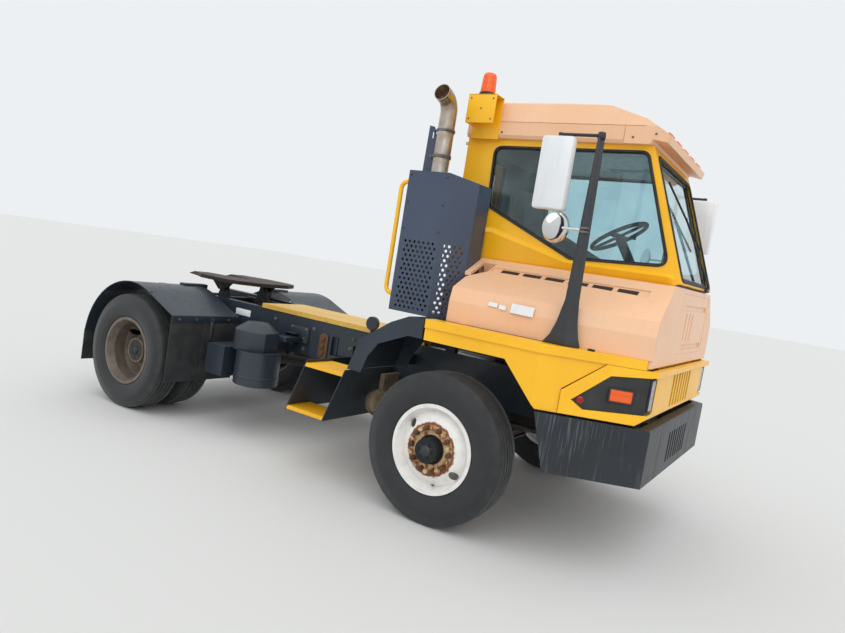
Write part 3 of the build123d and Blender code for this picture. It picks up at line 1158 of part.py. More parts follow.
def make_fascia():
    """Yellow front fascia with seven louvre slots and the openings for the lamps."""
    wall = taper_band(500, FASCIA_FRONT_X, 0, FASCIA_WALL, FASCIA_BOTTOM, FASCIA_TOP)
    side = prism_y([(SEAM_X + SEAM_GAP, FASCIA_BOTTOM), (FASCIA_LIP_X, FASCIA_BOTTOM),
                    (FASCIA_FRONT_X, FASCIA_LIP_Z),
                    (FASCIA_FRONT_X, FASCIA_TOP), (FASCIA_RISE_X + SEAM_GAP, FASCIA_TOP),
                    (SEAM_X + SEAM_GAP, FASCIA_RISE_Z - SEAM_GAP)], -HALF_WIDTH - 5, HALF_WIDTH + 5)
    fascia = wall & side
    # Shelf that stands out along the fascia's top edge
    shelf = taper_band(600, SHELF_FRONT_X, 0, SHELF_FRONT_X - FASCIA_FRONT_X + FASCIA_WALL,
                       FASCIA_TOP - SHELF_DEPTH, FASCIA_TOP)
    fascia += shelf & slab(FASCIA_RISE_X + 70, SHELF_FRONT_X + 5, -HALF_WIDTH, HALF_WIDTH, FASCIA_BOTTOM,
                           FASCIA_TOP + 5)
    lip = prism_y([(FASCIA_LIP_X - 14, FASCIA_BOTTOM), (FASCIA_LIP_X, FASCIA_BOTTOM),
                   (FASCIA_FRONT_X, FASCIA_LIP_Z),
                   (FASCIA_FRONT_X - FASCIA_WALL, FASCIA_LIP_Z)], -890, 890)
    fascia += lip
    half = LOUVRE_WIDTH / 2
    for i in range(LOUVRES):
        y = (i - (LOUVRES - 1) / 2) * LOUVRE_PITCH
        fascia -= slab(FASCIA_FRONT_X - 60, FASCIA_FRONT_X + 10, y - half, y + half, LOUVRE_LOW, LOUVRE_HIGH)
    opening = lamp_prism(0, POD_INNER_Y, HALF_WIDTH + 50)
    fascia -= both(opening)
    fascia += both(slab(TILT_X - 22, FASCIA_FRONT_X - FASCIA_WALL + 1, 341, 375 - SEAT_GAP, 1100, 1180))
    return fascia


def lamp_prism(grow, y0, y1):
    """The lamp pod's side outline, grown by a margin, from y0 to y1."""
    corners = [(POD_TIP_X, POD_TIP_Z), (POD_LOW_X, POD_LOW_REAR), (FASCIA_FRONT_X + 20, POD_LOW_FRONT),
               (FASCIA_FRONT_X + 20, POD_HIGH_FRONT), (POD_TOP_X, POD_HIGH_REAR)]
    pane = Face(Wire.make_polygon([(x, y0, z) for x, z in corners], close=True))
    if grow:
        pane = offset(pane, amount=grow, kind=Kind.INTERSECTION).face()
    return extrude(pane, amount=y1 - y0, dir=(0, 1, 0))


def make_lamp_pods():
    """Black lamp pods set into the fascia's corners."""
    wall = taper_band(600, FASCIA_FRONT_X - POD_SINK, POD_SINK, 20, FASCIA_BOTTOM, FASCIA_TOP)
    return both(wall & lamp_prism(-SEAT_GAP, POD_INNER_Y + SEAT_GAP, HALF_WIDTH + 50))


def make_headlamps():
    """Rectangular headlamps on the front face of the pods."""
    face = FASCIA_FRONT_X - POD_SINK + SEAT_GAP
    return both(slab(face, FASCIA_FRONT_X - 3, POD_INNER_Y + 12, POD_INNER_Y + 12 + HEADLAMP_WIDTH,
                     POD_LOW_FRONT + 24, POD_HIGH_FRONT - 23))


def make_signal_lamps():
    """Orange side signals in the pods and marker lamps along the visor."""
    lens = taper_band(600, FASCIA_FRONT_X, 3, POD_SINK - 3 - SEAT_GAP, SIGNAL_LOW, SIGNAL_HIGH)
    lamps = both(lens & slab(SIGNAL_REAR_X, SIGNAL_FRONT_X, 700, HALF_WIDTH, SIGNAL_LOW - 50,
                             SIGNAL_HIGH + 50))
    run = Vector(VISOR_FRONT_X - VISOR_REAR_X, 0, VISOR_FRONT_Z - VISOR_REAR_Z).normalized()
    up = Vector(-run.Z, 0, run.X)
    base = Vector(VISOR_REAR_X, 0, VISOR_REAR_Z) + run * 125
    corners = []
    for along, out in ((0, SEAT_GAP), (40, SEAT_GAP), (36, 14), (6, 16)):
        point = base + run * along + up * out
        corners.append((point.X, point.Z))
    for i in range(MARKER_COUNT):
        y = (i - (MARKER_COUNT - 1) / 2) * MARKER_PITCH
        lamps += prism_y(corners, y - 35, y + 35)
    return lamps


def roof_shoulder(half, lift, x0, x1):
    """What is cut away above the roof's left shoulder, from x0 to x1."""
    corners = [(half, ROOF_BAND_TOP), (half + 60, ROOF_BAND_TOP), (half + 60, ROOF_CROWN_Z + 60),
               (ROOF_CROWN_HALF - ROOF_HALF + half, ROOF_CROWN_Z + 60),
               (ROOF_CROWN_HALF - ROOF_HALF + half, ROOF_CROWN_Z),
               (ROOF_SHOULDER_HALF - ROOF_HALF + half, ROOF_SHOULDER_Z)]
    return prism_x([(y, z + lift) for y, z in corners], x0, x1)


def make_roof():
    """Roof cap over a band with its seams, and a visor over the windscreen."""
    x0 = CAB_REAR_X + 2
    side = [(x0, CAB_TOP + SEAT_GAP), (x0 + 5, ROOF_BAND_TOP), (x0 + 40, ROOF_CROWN_Z - 60),
            (-200, ROOF_CROWN_Z),
            (250, ROOF_CROWN_Z), (600, ROOF_CROWN_Z - 40), (VISOR_REAR_X, VISOR_REAR_Z),
            (VISOR_FRONT_X, VISOR_FRONT_Z), (VISOR_FRONT_X - 10, VISOR_FRONT_Z - 47), (905, CAB_TOP + 30),
            (890, CAB_TOP + SEAT_GAP)]
    roof = prism_y(side, -ROOF_HALF, ROOF_HALF)
    roof -= both(roof_shoulder(ROOF_HALF, 0, x0 - 10, VISOR_FRONT_X + 90))
    inner_side = [(x0 + ROOF_WALL, CAB_TOP - 5), (x0 + ROOF_WALL + 10, ROOF_CROWN_Z - 100),
                  (-200, ROOF_CROWN_Z - ROOF_WALL), (250, ROOF_CROWN_Z - ROOF_WALL), (590, ROOF_CROWN_Z - 85),
                  (800, ROOF_CROWN_Z - 160), (860, CAB_TOP - 5)]
    inner = prism_y(inner_side, -ROOF_HALF + 70, ROOF_HALF - 70)
    inner -= both(roof_shoulder(ROOF_HALF - 70, -ROOF_WALL, x0 - 10, VISOR_FRONT_X + 90))
    roof -= inner
    # Seams: one along the top of the band, one down it where the visor's moulding starts
    g = ROOF_GROOVE
    roof -= both(slab(x0 - 5, ROOF_SEAM_X + 130, ROOF_HALF - g, ROOF_HALF + g, ROOF_BAND_TOP - 3,
                      ROOF_BAND_TOP + 2))
    roof -= both(slab(ROOF_SEAM_X - 2, ROOF_SEAM_X + 2, ROOF_HALF - g, ROOF_HALF + g, CAB_TOP - 5,
                      ROOF_BAND_TOP))
    lip = prism_x([(ROOF_HALF - 14, CAB_TOP - 1), (ROOF_HALF + 1, CAB_TOP + 24),
                   (ROOF_HALF + 5, CAB_TOP - 1)],
                  x0 - 5, ROOF_SEAM_X)
    return roof - both(lip)


def make_side_glass():
    """Side windows, left and right."""
    return both(window_prism(SEAT_GAP, CAB_HALF - 20, CAB_HALF - 20 + GLASS))


def make_windscreen():
    """Flat raked windscreen in its opening."""
    slope = (SCREEN_FOOT_X - SCREEN_TOP_X) / (SCREEN_TOP_Z - SCREEN_FOOT_Z)
    z0 = SCREEN_FOOT_Z + 20 + SEAT_GAP
    z1 = SCREEN_TOP_Z - 20 - SEAT_GAP
    x_at = lambda z: SCREEN_FOOT_X - (z - SCREEN_FOOT_Z) * slope - 20
    return prism_y([(x_at(z0), z0), (x_at(z1), z1), (x_at(z1) - 9, z1), (x_at(z0) - 9, z0)],
                   -CAB_HALF + 48 + SEAT_GAP, CAB_HALF - 48 - SEAT_GAP)


def make_rear_door():
    """Sliding rear door with a cut window."""
    door = slab(CAB_REAR_X - 6 - DOOR_THICK, CAB_REAR_X - 6, DOOR_OPEN_RIGHT - DOOR_LAP,
                DOOR_OPEN_LEFT + DOOR_LAP,
                CAB_FLOOR_TOP - CAB_FLOOR + DOOR_RAIL + DOOR_SLACK, DOOR_OPEN_TOP + 45 - DOOR_SLACK)
    door -= slab(CAB_REAR_X - 60, CAB_REAR_X, DOOR_OPEN_RIGHT + DOOR_FRAME, DOOR_OPEN_LEFT - DOOR_FRAME,
                 DOOR_OPEN_BOTTOM + DOOR_SILL, DOOR_OPEN_TOP - DOOR_FRAME)
    return door


def make_rear_glass():
    """Pane of the rear door."""
    frame = DOOR_FRAME + SEAT_GAP
    return slab(CAB_REAR_X - 25, CAB_REAR_X - 25 + GLASS, DOOR_OPEN_RIGHT + frame, DOOR_OPEN_LEFT - frame,
                DOOR_OPEN_BOTTOM + DOOR_SILL + SEAT_GAP, DOOR_OPEN_TOP - frame)


def make_beacon_box():
    """Folded yellow bracket at the rear right of the roof."""
    side = -ROOF_HALF - SEAT_GAP
    low = BEACON_BOX_TOP - BEACON_BOX_HEIGHT
    box = slab(BEACON_BOX_REAR, BEACON_BOX_FRONT, side - 120, side, low, BEACON_BOX_TOP)
    box -= slab(BEACON_BOX_REAR + 6, BEACON_BOX_FRONT + 6, side - 114, side - 6, low + 6, BEACON_BOX_TOP - 6)
    return box + slab(BEACON_BOX_REAR + 50, BEACON_BOX_FRONT, side - 6, side, low - 85, low + 10)


def make_beacon():
    """Amber beacon."""
    x = (BEACON_BOX_REAR + BEACON_BOX_FRONT) / 2
    y = -ROOF_HALF - 60
    base = rod((x, y, BEACON_BOX_TOP + SEAT_GAP), (x, y, BEACON_BOX_TOP + 20), 52)
    lens = Pos(x, y, BEACON_BOX_TOP + 19) * Cone(47, 42, BEACON_TOP - BEACON_BOX_TOP - 19,
                                                 align=(Align.CENTER, Align.CENTER, Align.MIN))
    return base + fillet(lens.edges().sort_by(Axis.Z)[-1], 12)


def make_mirror_posts():
    """Flared posts on the deck rail, folded along their front edge, with arms for the mirrors."""
    outer = MIRROR_Y + 18
    sections = []
    # Columns: height, rear edge, fold, front edge
    for z, rear, fold, front in ((DECK_RAIL_TOP + SEAT_GAP, 600.0, 752.0, 830.0),
                                 (1480.0, 670.0, 742.0, 790.0),
                                 (1620.0, 700.0, 741.0, 775.0), (MIRROR_TOP + 32, 728.0, 740.0, 752.0)):
        corners = [(rear, outer), (fold, outer), (front, outer - POST_DEPTH), (rear, outer - POST_DEPTH)]
        sections.append(Wire.make_polygon([(x, y, z) for x, y in corners], close=True))
    post = Part() + Solid.make_loft(sections, ruled=True)
    arm = rod((740, MIRROR_Y, MIRROR_TOP + 12.3), (500, MIRROR_Y, MIRROR_TOP + 12.3), 12)
    return both(post + arm)


def make_mirrors():
    """White backed mirror heads with rounded edges."""
    head = Pos(MIRROR_REAR_X + MIRROR_WIDTH / 2, MIRROR_Y, MIRROR_TOP - MIRROR_HEIGHT / 2) * Box(
        MIRROR_WIDTH, MIRROR_DEPTH, MIRROR_HEIGHT)
    head = fillet(head.edges().filter_by(Axis.Z), MIRROR_EDGE_R)
    return both(head)


def make_spot_mirrors():
    """Round convex mirrors under the main mirrors."""
    # Half outline of the dish as (along its axis, radius)
    outline = [(0, 0), (0, 100), (22, 92), (38, 62), (42, 30), (42, 0)]
    bowl = revolve(Face(Wire.make_polygon([(r, 0, a) for a, r in outline], close=True)), axis=Axis.Z)
    dish = Plane(origin=(500, MIRROR_Y, SPOT_Z), z_dir=(1, 0, 0)) * bowl
    stay = rod((530, MIRROR_Y, SPOT_Z), (SPOT_STAY_END_X, MIRROR_Y, SPOT_Z), 9)
    return both(dish + stay)


def make_seat():
    """Driver's seat on its pedestal."""
    seat = slab(-150, 330, -150, 330, 1700, 1820) + slab(-230, -110, -140, 320, 1740, 2380)
    seat += slab(-60, 240, -20, 200, CAB_FLOOR_TOP + 0.3, 1701)
    return seat


def make_steering_column():
    """Dash, column and steering wheel."""
    dash = prism_y([(850, CAB_FLOOR_TOP + 0.3), (850, 1780), (900, 1850), (1120, 1850),
                    (1120, CAB_FLOOR_TOP + 0.3)],
                   -CAB_HALF + CAB_WALL + 0.3, CAB_HALF - CAB_WALL - 0.3)
    hub = Pos(STEER_WHEEL_X, STEER_WHEEL_Y, STEER_WHEEL_Z) * Rot(0, -STEER_WHEEL_LEAN, 0)
    column = hub * Pos(0, 0, -COLUMN_LENGTH / 2) * Cylinder(35, COLUMN_LENGTH)
    spokes = hub * (Box(2 * STEER_WHEEL_R - 10, 40, 14) + Box(40, 2 * STEER_WHEEL_R - 10, 14))
    return dash + column + hub * Torus(STEER_WHEEL_R, 15) + spokes


def make_jack_barrel():
    """Barrel of the cab tilt cylinder."""
    foot = Vector(JACK_FOOT_X, -JACK_Y, JACK_FOOT_Z)
    eye = Vector(JACK_EYE_X, -JACK_Y, JACK_EYE_Z)
    line = (eye - foot).normalized()
    barrel = rod(tuple(foot + line * 24), tuple(foot + line * JACK_BARREL_LENGTH), JACK_BARREL_R)
    barrel += rod((JACK_FOOT_X, -JACK_Y - 18, JACK_FOOT_Z), (JACK_FOOT_X, -JACK_Y + 18, JACK_FOOT_Z), 34)
    barrel -= rod((JACK_FOOT_X, -JACK_Y - 60, JACK_FOOT_Z), (JACK_FOOT_X, -JACK_Y + 60, JACK_FOOT_Z),
                  JACK_PIN_R + PIN_GAP)
    return barrel - rod(tuple(foot + line * 36), tuple(foot + line * (JACK_BARREL_LENGTH + 5)),
                        JACK_ROD_R + PIN_GAP)


def make_jack_rod():
    """Rod of the cab tilt cylinder."""
    foot = Vector(JACK_FOOT_X, -JACK_Y, JACK_FOOT_Z)
    eye = Vector(JACK_EYE_X, -JACK_Y, JACK_EYE_Z)
    line = (eye - foot).normalized()
    return rod(tuple(foot + line * 40), tuple(eye - line * 10), JACK_ROD_R)


NODES = {
    "chassis_frame": make_chassis_frame,
    "bumper": make_bumper,
    "front_axle": make_front_axle,
    "front_springs": make_front_springs,
    "rear_axle": make_rear_axle,
    "engine": make_engine,
    "radiator": make_radiator,
    "driveshaft": make_driveshaft,
    "deck_plate": make_deck_plate,
    "exhaust_guard": make_guard,
    "exhaust_stack": make_stack,
    "grab_handle": make_handle,
    "front_fender_arms": make_fender_arms,
    "rear_fender_left": make_rear_fender,
    "rear_fender_right": lambda: other_side(make_rear_fender()),
    "battery_box": make_battery_box,
    "air_cleaner": make_air_cleaner,
    "fuel_tank": make_fuel_tank,
    "step_frames": make_step_frames,
    "step_treads": lambda: both(make_step_treads()),
    "air_canister": make_canister,
    "tail_lamps": make_tail_lamps,
    "lift_boom": make_boom,
    "fifth_wheel": make_fifth_wheel,
    "lift_barrels": lambda: both(make_lift_barrel()),
    "lift_rods": lambda: both(make_lift_rod()),
    "tilt_frame": make_tilt_frame,
    "cab_shell": make_cab_shell,
    "hood_shell": make_hood,
    "front_panel": make_front_panel,
    "deck_rail_skirt": make_skirt,
    "front_fascia": make_fascia,
    "lamp_pods": make_lamp_pods,
    "headlamps": make_headlamps,
    "signal_lamps": make_signal_lamps,
    "roof_cap": make_roof,
    "side_glass": make_side_glass,
    "windscreen": make_windscreen,
    "rear_door": make_rear_door,
    "rear_door_glass": make_rear_glass,
    "beacon_box": make_beacon_box,
    "beacon": make_beacon,
    "mirror_posts": make_mirror_posts,
    "mirrors": make_mirrors,
    "spot_mirrors": make_spot_mirrors,
    "seat": make_seat,
    "steering_column": make_steering_column,
    "tilt_barrel": make_jack_barrel,
    "tilt_rod": make_jack_rod,
    "knuckle_left": make_knuckle,
    "knuckle_right": lambda: other_side(make_knuckle()),
    "tie_rod": make_tie_rod,
    "tyre_front_left": lambda: make_tyre(FRONT_WHEEL_Y),
    "tyre_front_right": lambda: make_tyre(-FRONT_WHEEL_Y),
    "wheel_front_left": make_front_wheel,
    "wheel_front_right": lambda: other_side(make_front_wheel()),
    "tyres_rear_left": lambda: Pos(REAR_AXLE_X, 0,
                                   0) * (make_tyre(REAR_OUTER_Y) + make_tyre(REAR_OUTER_Y - DUAL_SPACING)),
    "tyres_rear_right": lambda: Pos(REAR_AXLE_X, 0, 0) * (
        make_tyre(-REAR_OUTER_Y) + make_tyre(-REAR_OUTER_Y + DUAL_SPACING)),
    "wheels_rear_left": make_rear_wheels,
    "wheels_rear_right": lambda: other_side(make_rear_wheels()),
}

os.makedirs("parts", exist_ok=True)
for name, make in NODES.items():
    export_step(Pos(ORIGIN_SHIFT, 0, 0) * make(), "parts/" + name + ".step")
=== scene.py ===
"""Terminal tractor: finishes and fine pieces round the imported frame, with its studio and camera.

Everything is in metres in the row frame: +X forward, +Y to the vehicle's left, +Z up, with the origin on the
ground under the middle of the vehicle.
"""

from __future__ import annotations

import logging
import math
from dataclasses import dataclass, field
from enum import Enum
from typing import Callable, Sequence

import bmesh
import bpy
from mathutils import Matrix, Vector

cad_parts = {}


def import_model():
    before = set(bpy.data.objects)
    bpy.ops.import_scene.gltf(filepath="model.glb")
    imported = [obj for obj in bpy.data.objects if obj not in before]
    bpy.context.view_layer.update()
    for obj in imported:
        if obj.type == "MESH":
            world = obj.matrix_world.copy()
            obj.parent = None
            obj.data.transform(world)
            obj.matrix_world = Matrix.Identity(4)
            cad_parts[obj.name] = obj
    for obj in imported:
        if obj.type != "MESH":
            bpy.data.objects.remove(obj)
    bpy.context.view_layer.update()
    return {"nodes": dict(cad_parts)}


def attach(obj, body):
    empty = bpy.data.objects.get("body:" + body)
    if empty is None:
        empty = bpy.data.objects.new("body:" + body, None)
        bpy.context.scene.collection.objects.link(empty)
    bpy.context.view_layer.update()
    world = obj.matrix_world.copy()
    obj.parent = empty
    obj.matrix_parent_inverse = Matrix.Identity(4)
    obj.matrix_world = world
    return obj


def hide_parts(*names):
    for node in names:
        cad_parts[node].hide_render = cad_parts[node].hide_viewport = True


log = logging.getLogger("terminal_tractor")

Point = tuple[float, float, float]
Tree = bpy.types.NodeTree
Node = bpy.types.Node
Socket = bpy.types.NodeSocket
Shape = bmesh.types.BMesh


# Colours and nodes

PRODUCT = {"operation": "MULTIPLY", "use_clamp": True}
SUM = {"operation": "ADD", "use_clamp": True}
LARGER = {"operation": "MAXIMUM", "use_clamp": True}
WAVES_PER_SCALE = 20.0


def linear(code: str) -> tuple[float, float, float, float]:
    """Turn an sRGB hex colour into linear values.

    Args:
        code: A colour such as "#E3B128".

    Returns:
        Red, green, blue and alpha as linear numbers.
    """
    parts = [int(code[i : i + 2], 16) / 255 for i in (1, 3, 5)]
    red, green, blue = (p / 12.92 if p <= 0.04045 else ((p + 0.055) / 1.055) ** 2.4 for p in parts)
    return (red, green, blue, 1.0)


def per_metre(millimetres: float) -> float:
    """Give the texture scale whose features are about this many millimetres apart."""
    return 1000.0 / millimetres


def add(tree: Tree, kind: str, inputs: dict | None = None, **settings: object) -> Node:
    """Add one node with its settings, values and links.

    Args:
        tree: The node tree.
        kind: The node's type name after "ShaderNode".
        inputs: Input name or index to a value, an output socket, or a node whose first output is linked.
        **settings: Attributes of the node.

    Returns:
        The new node.
    """
    node = tree.nodes.new("ShaderNode" + kind)
    for name, value in settings.items():
        setattr(node, name, value)
    for key, value in (inputs or {}).items():
        if isinstance(value, Node):
            value = next(socket for socket in value.outputs if socket.enabled)
        if isinstance(value, Socket):
            tree.links.new(value, node.inputs[key])
        else:
            node.inputs[key].default_value = value
    return node


def patches(tree: Tree, place: object, size_mm: float, detail: float = 5.0, low: float = 0.35,
            high: float = 0.65) -> Node:
    """Give cloudy patches of a real size, spread over 0 to 1.

    Args:
        tree: The node tree.
        place: The coordinates.
        size_mm: Size of the patches.
        detail: Octaves.
        low: Noise value that becomes 0.
        high: Noise value that becomes 1.

    Returns:
        The node that gives the spread value.
    """
    cloud = add(tree, "TexNoise", {"Vector": place, "Scale": per_metre(size_mm), "Detail": detail})
    return add(tree, "MapRange", {"Value": cloud, "From Min": low, "From Max": high})


def layered(tree: Tree, first: object, *layers: tuple) -> Node:
    """Lay colours over a first one, each where its patterns are strong.

    Args:
        tree: The node tree.
        first: The undermost colour, as a hex code or a node.
        *layers: A colour and the patterns and shares whose product says how much of it shows.

    Returns:
        The node that gives the whole colour.
    """
    colour = first
    for upper, share, *others in layers:
        for other in others:
            share = add(tree, "Math", {0: share, 1: other}, **PRODUCT)
        lower, upper = (linear(c) if isinstance(c, str) else c for c in (colour, upper))
        colour = add(tree, "Mix", {"Factor": share, "A": lower, "B": upper}, data_type="RGBA")
    return colour


def from_axle(tree: Tree, place: object, axle: Point) -> Node:
    """Give the distance from an axle that runs across the vehicle.

    Args:
        tree: The node tree.
        place: The object coordinates.
        axle: A place on the axle, in metres.

    Returns:
        The node that gives the distance in metres.
    """
    local = add(tree, "Mapping",
                {"Vector": place, "Scale": (1.0, 0.0, 1.0), "Location": (-axle[0], 0.0, -axle[2])})
    return add(tree, "VectorMath", {0: local}, operation="LENGTH")


def softened(tree: Tree, height: object, depth_mm: float, edge_mm: float) -> Node:
    """Raise a pattern over an edge rounding, so that sharp edges catch light as a pressed or cast edge does.

    Args:
        tree: The node tree.
        height: Height pattern, 0 to 1.
        depth_mm: Height of the pattern.
        edge_mm: Radius of the softened edges.

    Returns:
        The node that gives the normal.
    """
    edge = add(tree, "Bevel", {"Radius": edge_mm / 1000}, samples=4)
    return add(tree, "Bump", {"Height": height, "Distance": depth_mm / 1000, "Strength": 1.0, "Normal": edge})


# Finishes


@dataclass(frozen=True)
class Finish:
    """One procedural finish, named for the real material it stands for."""

    label: str

    def build(self) -> bpy.types.Material:
        """Make the material.

        Returns:
            The new material with its node tree.
        """
        material = bpy.data.materials.new(self.label)
        material.use_nodes = True
        tree = material.node_tree
        tree.nodes.clear()
        place = add(tree, "TexCoord").outputs["Object"]
        shader = add(tree, "BsdfPrincipled", self.dress(tree, place))
        add(tree, "OutputMaterial", {"Surface": shader})
        return material

    def dress(self, tree: Tree, place: Socket) -> dict[str, object]:
        """Give what goes into the shader: numbers, and patterns on the object's coordinates.

        Args:
            tree: The material's node tree.
            place: The object coordinates.

        Returns:
            Name of the shader's input to its value or node.
        """
        raise NotImplementedError


@dataclass(frozen=True)
class CoatedSheet(Finish):
    """Sprayed or moulded colour coat: enamel on steel, gelcoat on glass fibre, or powder coat.

    The eye sees a slightly uneven colour, a fine orange peel, dust that gathers low down, and runs of dirt. A
    tread plate's pressed pattern stands out in place of the peel.
    """

    base: str = "#E3B128"
    worn: str = "#D9A72C"
    grime: str = "#6B6154"
    roughness: float = 0.38
    coat: float = 0.25
    cloud_mm: float = 420.0
    peel_mm: float = 3.0
    peel_depth_mm: float = 0.02
    edge_mm: float = 3.0
    dust_top: float = 1.1
    dust_foot: float = 0.15
    dust_share: float = 0.35
    run_mm: float = 38.0
    run_share: float = 0.18
    chip_mm: float = 16.0
    chip_share: float = 0.0
    chip: str = "#5A3B2A"
    scuff_mm: float = 11.0
    scuff_share: float = 0.0
    scuff: str = "#8E959B"
    tread_mm: float = 0.0
    tread_depth_mm: float = 2.0

    def dress(self, tree: Tree, place: Socket) -> dict[str, object]:
        """Give colour, roughness and peel.

        Args:
            tree: The material's node tree.
            place: The object coordinates.

        Returns:
            The shader's inputs.
        """
        dripping = add(tree, "Mapping", {"Vector": place, "Scale": (1.0, 1.0, 0.12)})
        runs = patches(tree, dripping, self.run_mm, 6.0, 0.5, 0.78)
        height = add(tree, "SeparateXYZ", {"Vector": place}).outputs["Z"]
        low = add(tree, "MapRange", {"Value": height, "From Min": self.dust_top, "From Max": self.dust_foot},
                  interpolation_type="SMOOTHSTEP")
        speckle = add(tree, "Math", {0: low, 1: patches(tree, place, 24.0, 8.0, 0.3, 0.7)}, **PRODUCT)
        dust = add(tree, "Math", {0: speckle, 1: self.dust_share}, **PRODUCT)
        layers = [(self.worn, patches(tree, place, self.cloud_mm)), (self.grime, runs, self.run_share),
                  (self.grime, dust)]
        if self.chip_share:
            layers.append((self.chip, patches(tree, place, self.chip_mm, 9.0, 0.63, 0.67),
                           patches(tree, place, 210.0, 3.0, 0.5, 0.62), self.chip_share))
        if self.scuff_share:
            upright = add(tree, "Mapping", {"Vector": place, "Scale": (1.0, 1.0, 0.035)})
            layers.append((self.scuff, patches(tree, upright, self.scuff_mm, 3.0, 0.56, 0.62),
                           patches(tree, place, 300.0, 3.0, 0.42, 0.6), self.scuff_share))
        dull = add(tree, "MapRange", {"Value": add(tree, "Math", {0: dust, 1: runs}, **SUM), "From Max": 1.4,
                                      "To Min": self.roughness, "To Max": self.roughness + 0.3})
        relief, deep = patches(tree, place, self.peel_mm, 2.0, 0.2, 0.8), self.peel_depth_mm
        if self.tread_mm:
            relief = add(tree, "TexVoronoi", {"Vector": place, "Scale": per_metre(self.tread_mm)})
            deep = self.tread_depth_mm
        return {"Base Color": layered(tree, self.base, *layers), "Roughness": dull, "Coat Weight": self.coat,
                "Coat Roughness": 0.12, "Normal": softened(tree, relief, deep, self.edge_mm)}


@dataclass(frozen=True)
class BareMetal(Finish):
    """Uncoated metal: stainless stack, worn casting or turned steel, with stains.

    The eye sees soft broad reflections broken by stains and fine scratches.
    """

    base: str = "#8E8A84"
    stain: str = "#6D5A46"
    metallic: float = 1.0
    roughness: float = 0.35
    stain_mm: float = 90.0
    stain_share: float = 0.5
    grain_mm: float = 1.5
    grain_depth_mm: float = 0.03
    edge_mm: float = 2.0

    def dress(self, tree: Tree, place: Socket) -> dict[str, object]:
        """Give colour, roughness and grain.

        Args:
            tree: The material's node tree.
            place: The object coordinates.

        Returns:
            The shader's inputs.
        """
        blots = patches(tree, place, self.stain_mm, 8.0, 0.38, 0.68)
        stains = add(tree, "Math", {0: blots, 1: self.stain_share}, **PRODUCT)
        dull = add(tree, "MapRange", {"Value": stains, "To Min": self.roughness,
                                      "To Max": min(1.0, self.roughness + 0.4)})
        grain = patches(tree, place, self.grain_mm, 3.0, 0.2, 0.8)
        return {"Base Color": layered(tree, self.base, (self.stain, stains)), "Metallic": self.metallic,
                "Roughness": dull, "Normal": softened(tree, grain, self.grain_depth_mm, self.edge_mm)}


@dataclass(frozen=True)
class MouldedPart(Finish):
    """Moulded plastic or rubber with a fine grain, a little dusty.

    The eye sees a dull dark skin with a soft sheen and pale dust in the low places.
    """

    base: str = "#1B1C1E"
    dust: str = "#5D5A54"
    roughness: float = 0.55
    dust_mm: float = 120.0
    dust_share: float = 0.3
    grain_mm: float = 2.0
    grain_depth_mm: float = 0.05
    edge_mm: float = 2.0

    def dress(self, tree: Tree, place: Socket) -> dict[str, object]:
        """Give colour, roughness and grain.

        Args:
            tree: The material's node tree.
            place: The object coordinates.

        Returns:
            The shader's inputs.
        """
        dusty = (self.dust, patches(tree, place, self.dust_mm, 8.0, 0.35, 0.75), self.dust_share)
        grain = patches(tree, place, self.grain_mm, 2.0, 0.2, 0.8)
        return {"Base Color": layered(tree, self.base, dusty), "Roughness": self.roughness,
                "Normal": softened(tree, grain, self.grain_depth_mm, self.edge_mm)}


@dataclass(frozen=True)
class Glazing(Finish):
    """Tinted safety glass with a thin film of road dust: the eye sees a green blue pane, a little cloudy."""

    tint: str = "#D0E9EE"
    film: str = "#9FB4B8"
    film_mm: float = 180.0
    film_share: float = 0.10

    def dress(self, tree: Tree, place: Socket) -> dict[str, object]:
        """Give tint, clearness and film.

        Args:
            tree: The material's node tree.
            place: The object coordinates.

        Returns:
            The shader's inputs.
        """
        film = add(tree, "Math", {0: patches(tree, place, self.film_mm, 8.0, 0.3, 0.8), 1: self.film_share},
                   **PRODUCT)
        clear = add(tree, "MapRange", {"Value": film, "To Min": 1.0, "To Max": 0.2})
        return {"Base Color": layered(tree, self.tint, (self.film, film)), "Transmission Weight": clear,
                "Roughness": 0.02, "IOR": 1.45}


@dataclass(frozen=True)
class Lens(Finish):
    """Moulded lamp lens with prism ribs: the eye sees fine lines that glow a little where light passes."""

    tint: str = "#E8641E"
    shade: str = "#B8451A"
    shade_share: float = 0.35
    glow: float = 0.25
    rib_mm: float = 7.0
    rib_depth_mm: float = 0.3
    clear: float = 0.35

    def dress(self, tree: Tree, place: Socket) -> dict[str, object]:
        """Give tint, glow and ribs.

        Args:
            tree: The material's node tree.
            place: The object coordinates.

        Returns:
            The shader's inputs.
        """
        ribs = add(tree, "TexWave", {"Vector": place, "Scale": per_metre(self.rib_mm) / WAVES_PER_SCALE},
                   bands_direction="Z").outputs["Fac"]
        ribbed = layered(tree, self.tint, (self.shade, ribs))
        return {"Base Color": layered(tree, self.tint, (ribbed, self.shade_share)),
                "Transmission Weight": self.clear, "Roughness": 0.12, "Emission Color": linear(self.tint),
                "Emission Strength": self.glow, "Normal": softened(tree, ribs, self.rib_depth_mm, 2.0)}


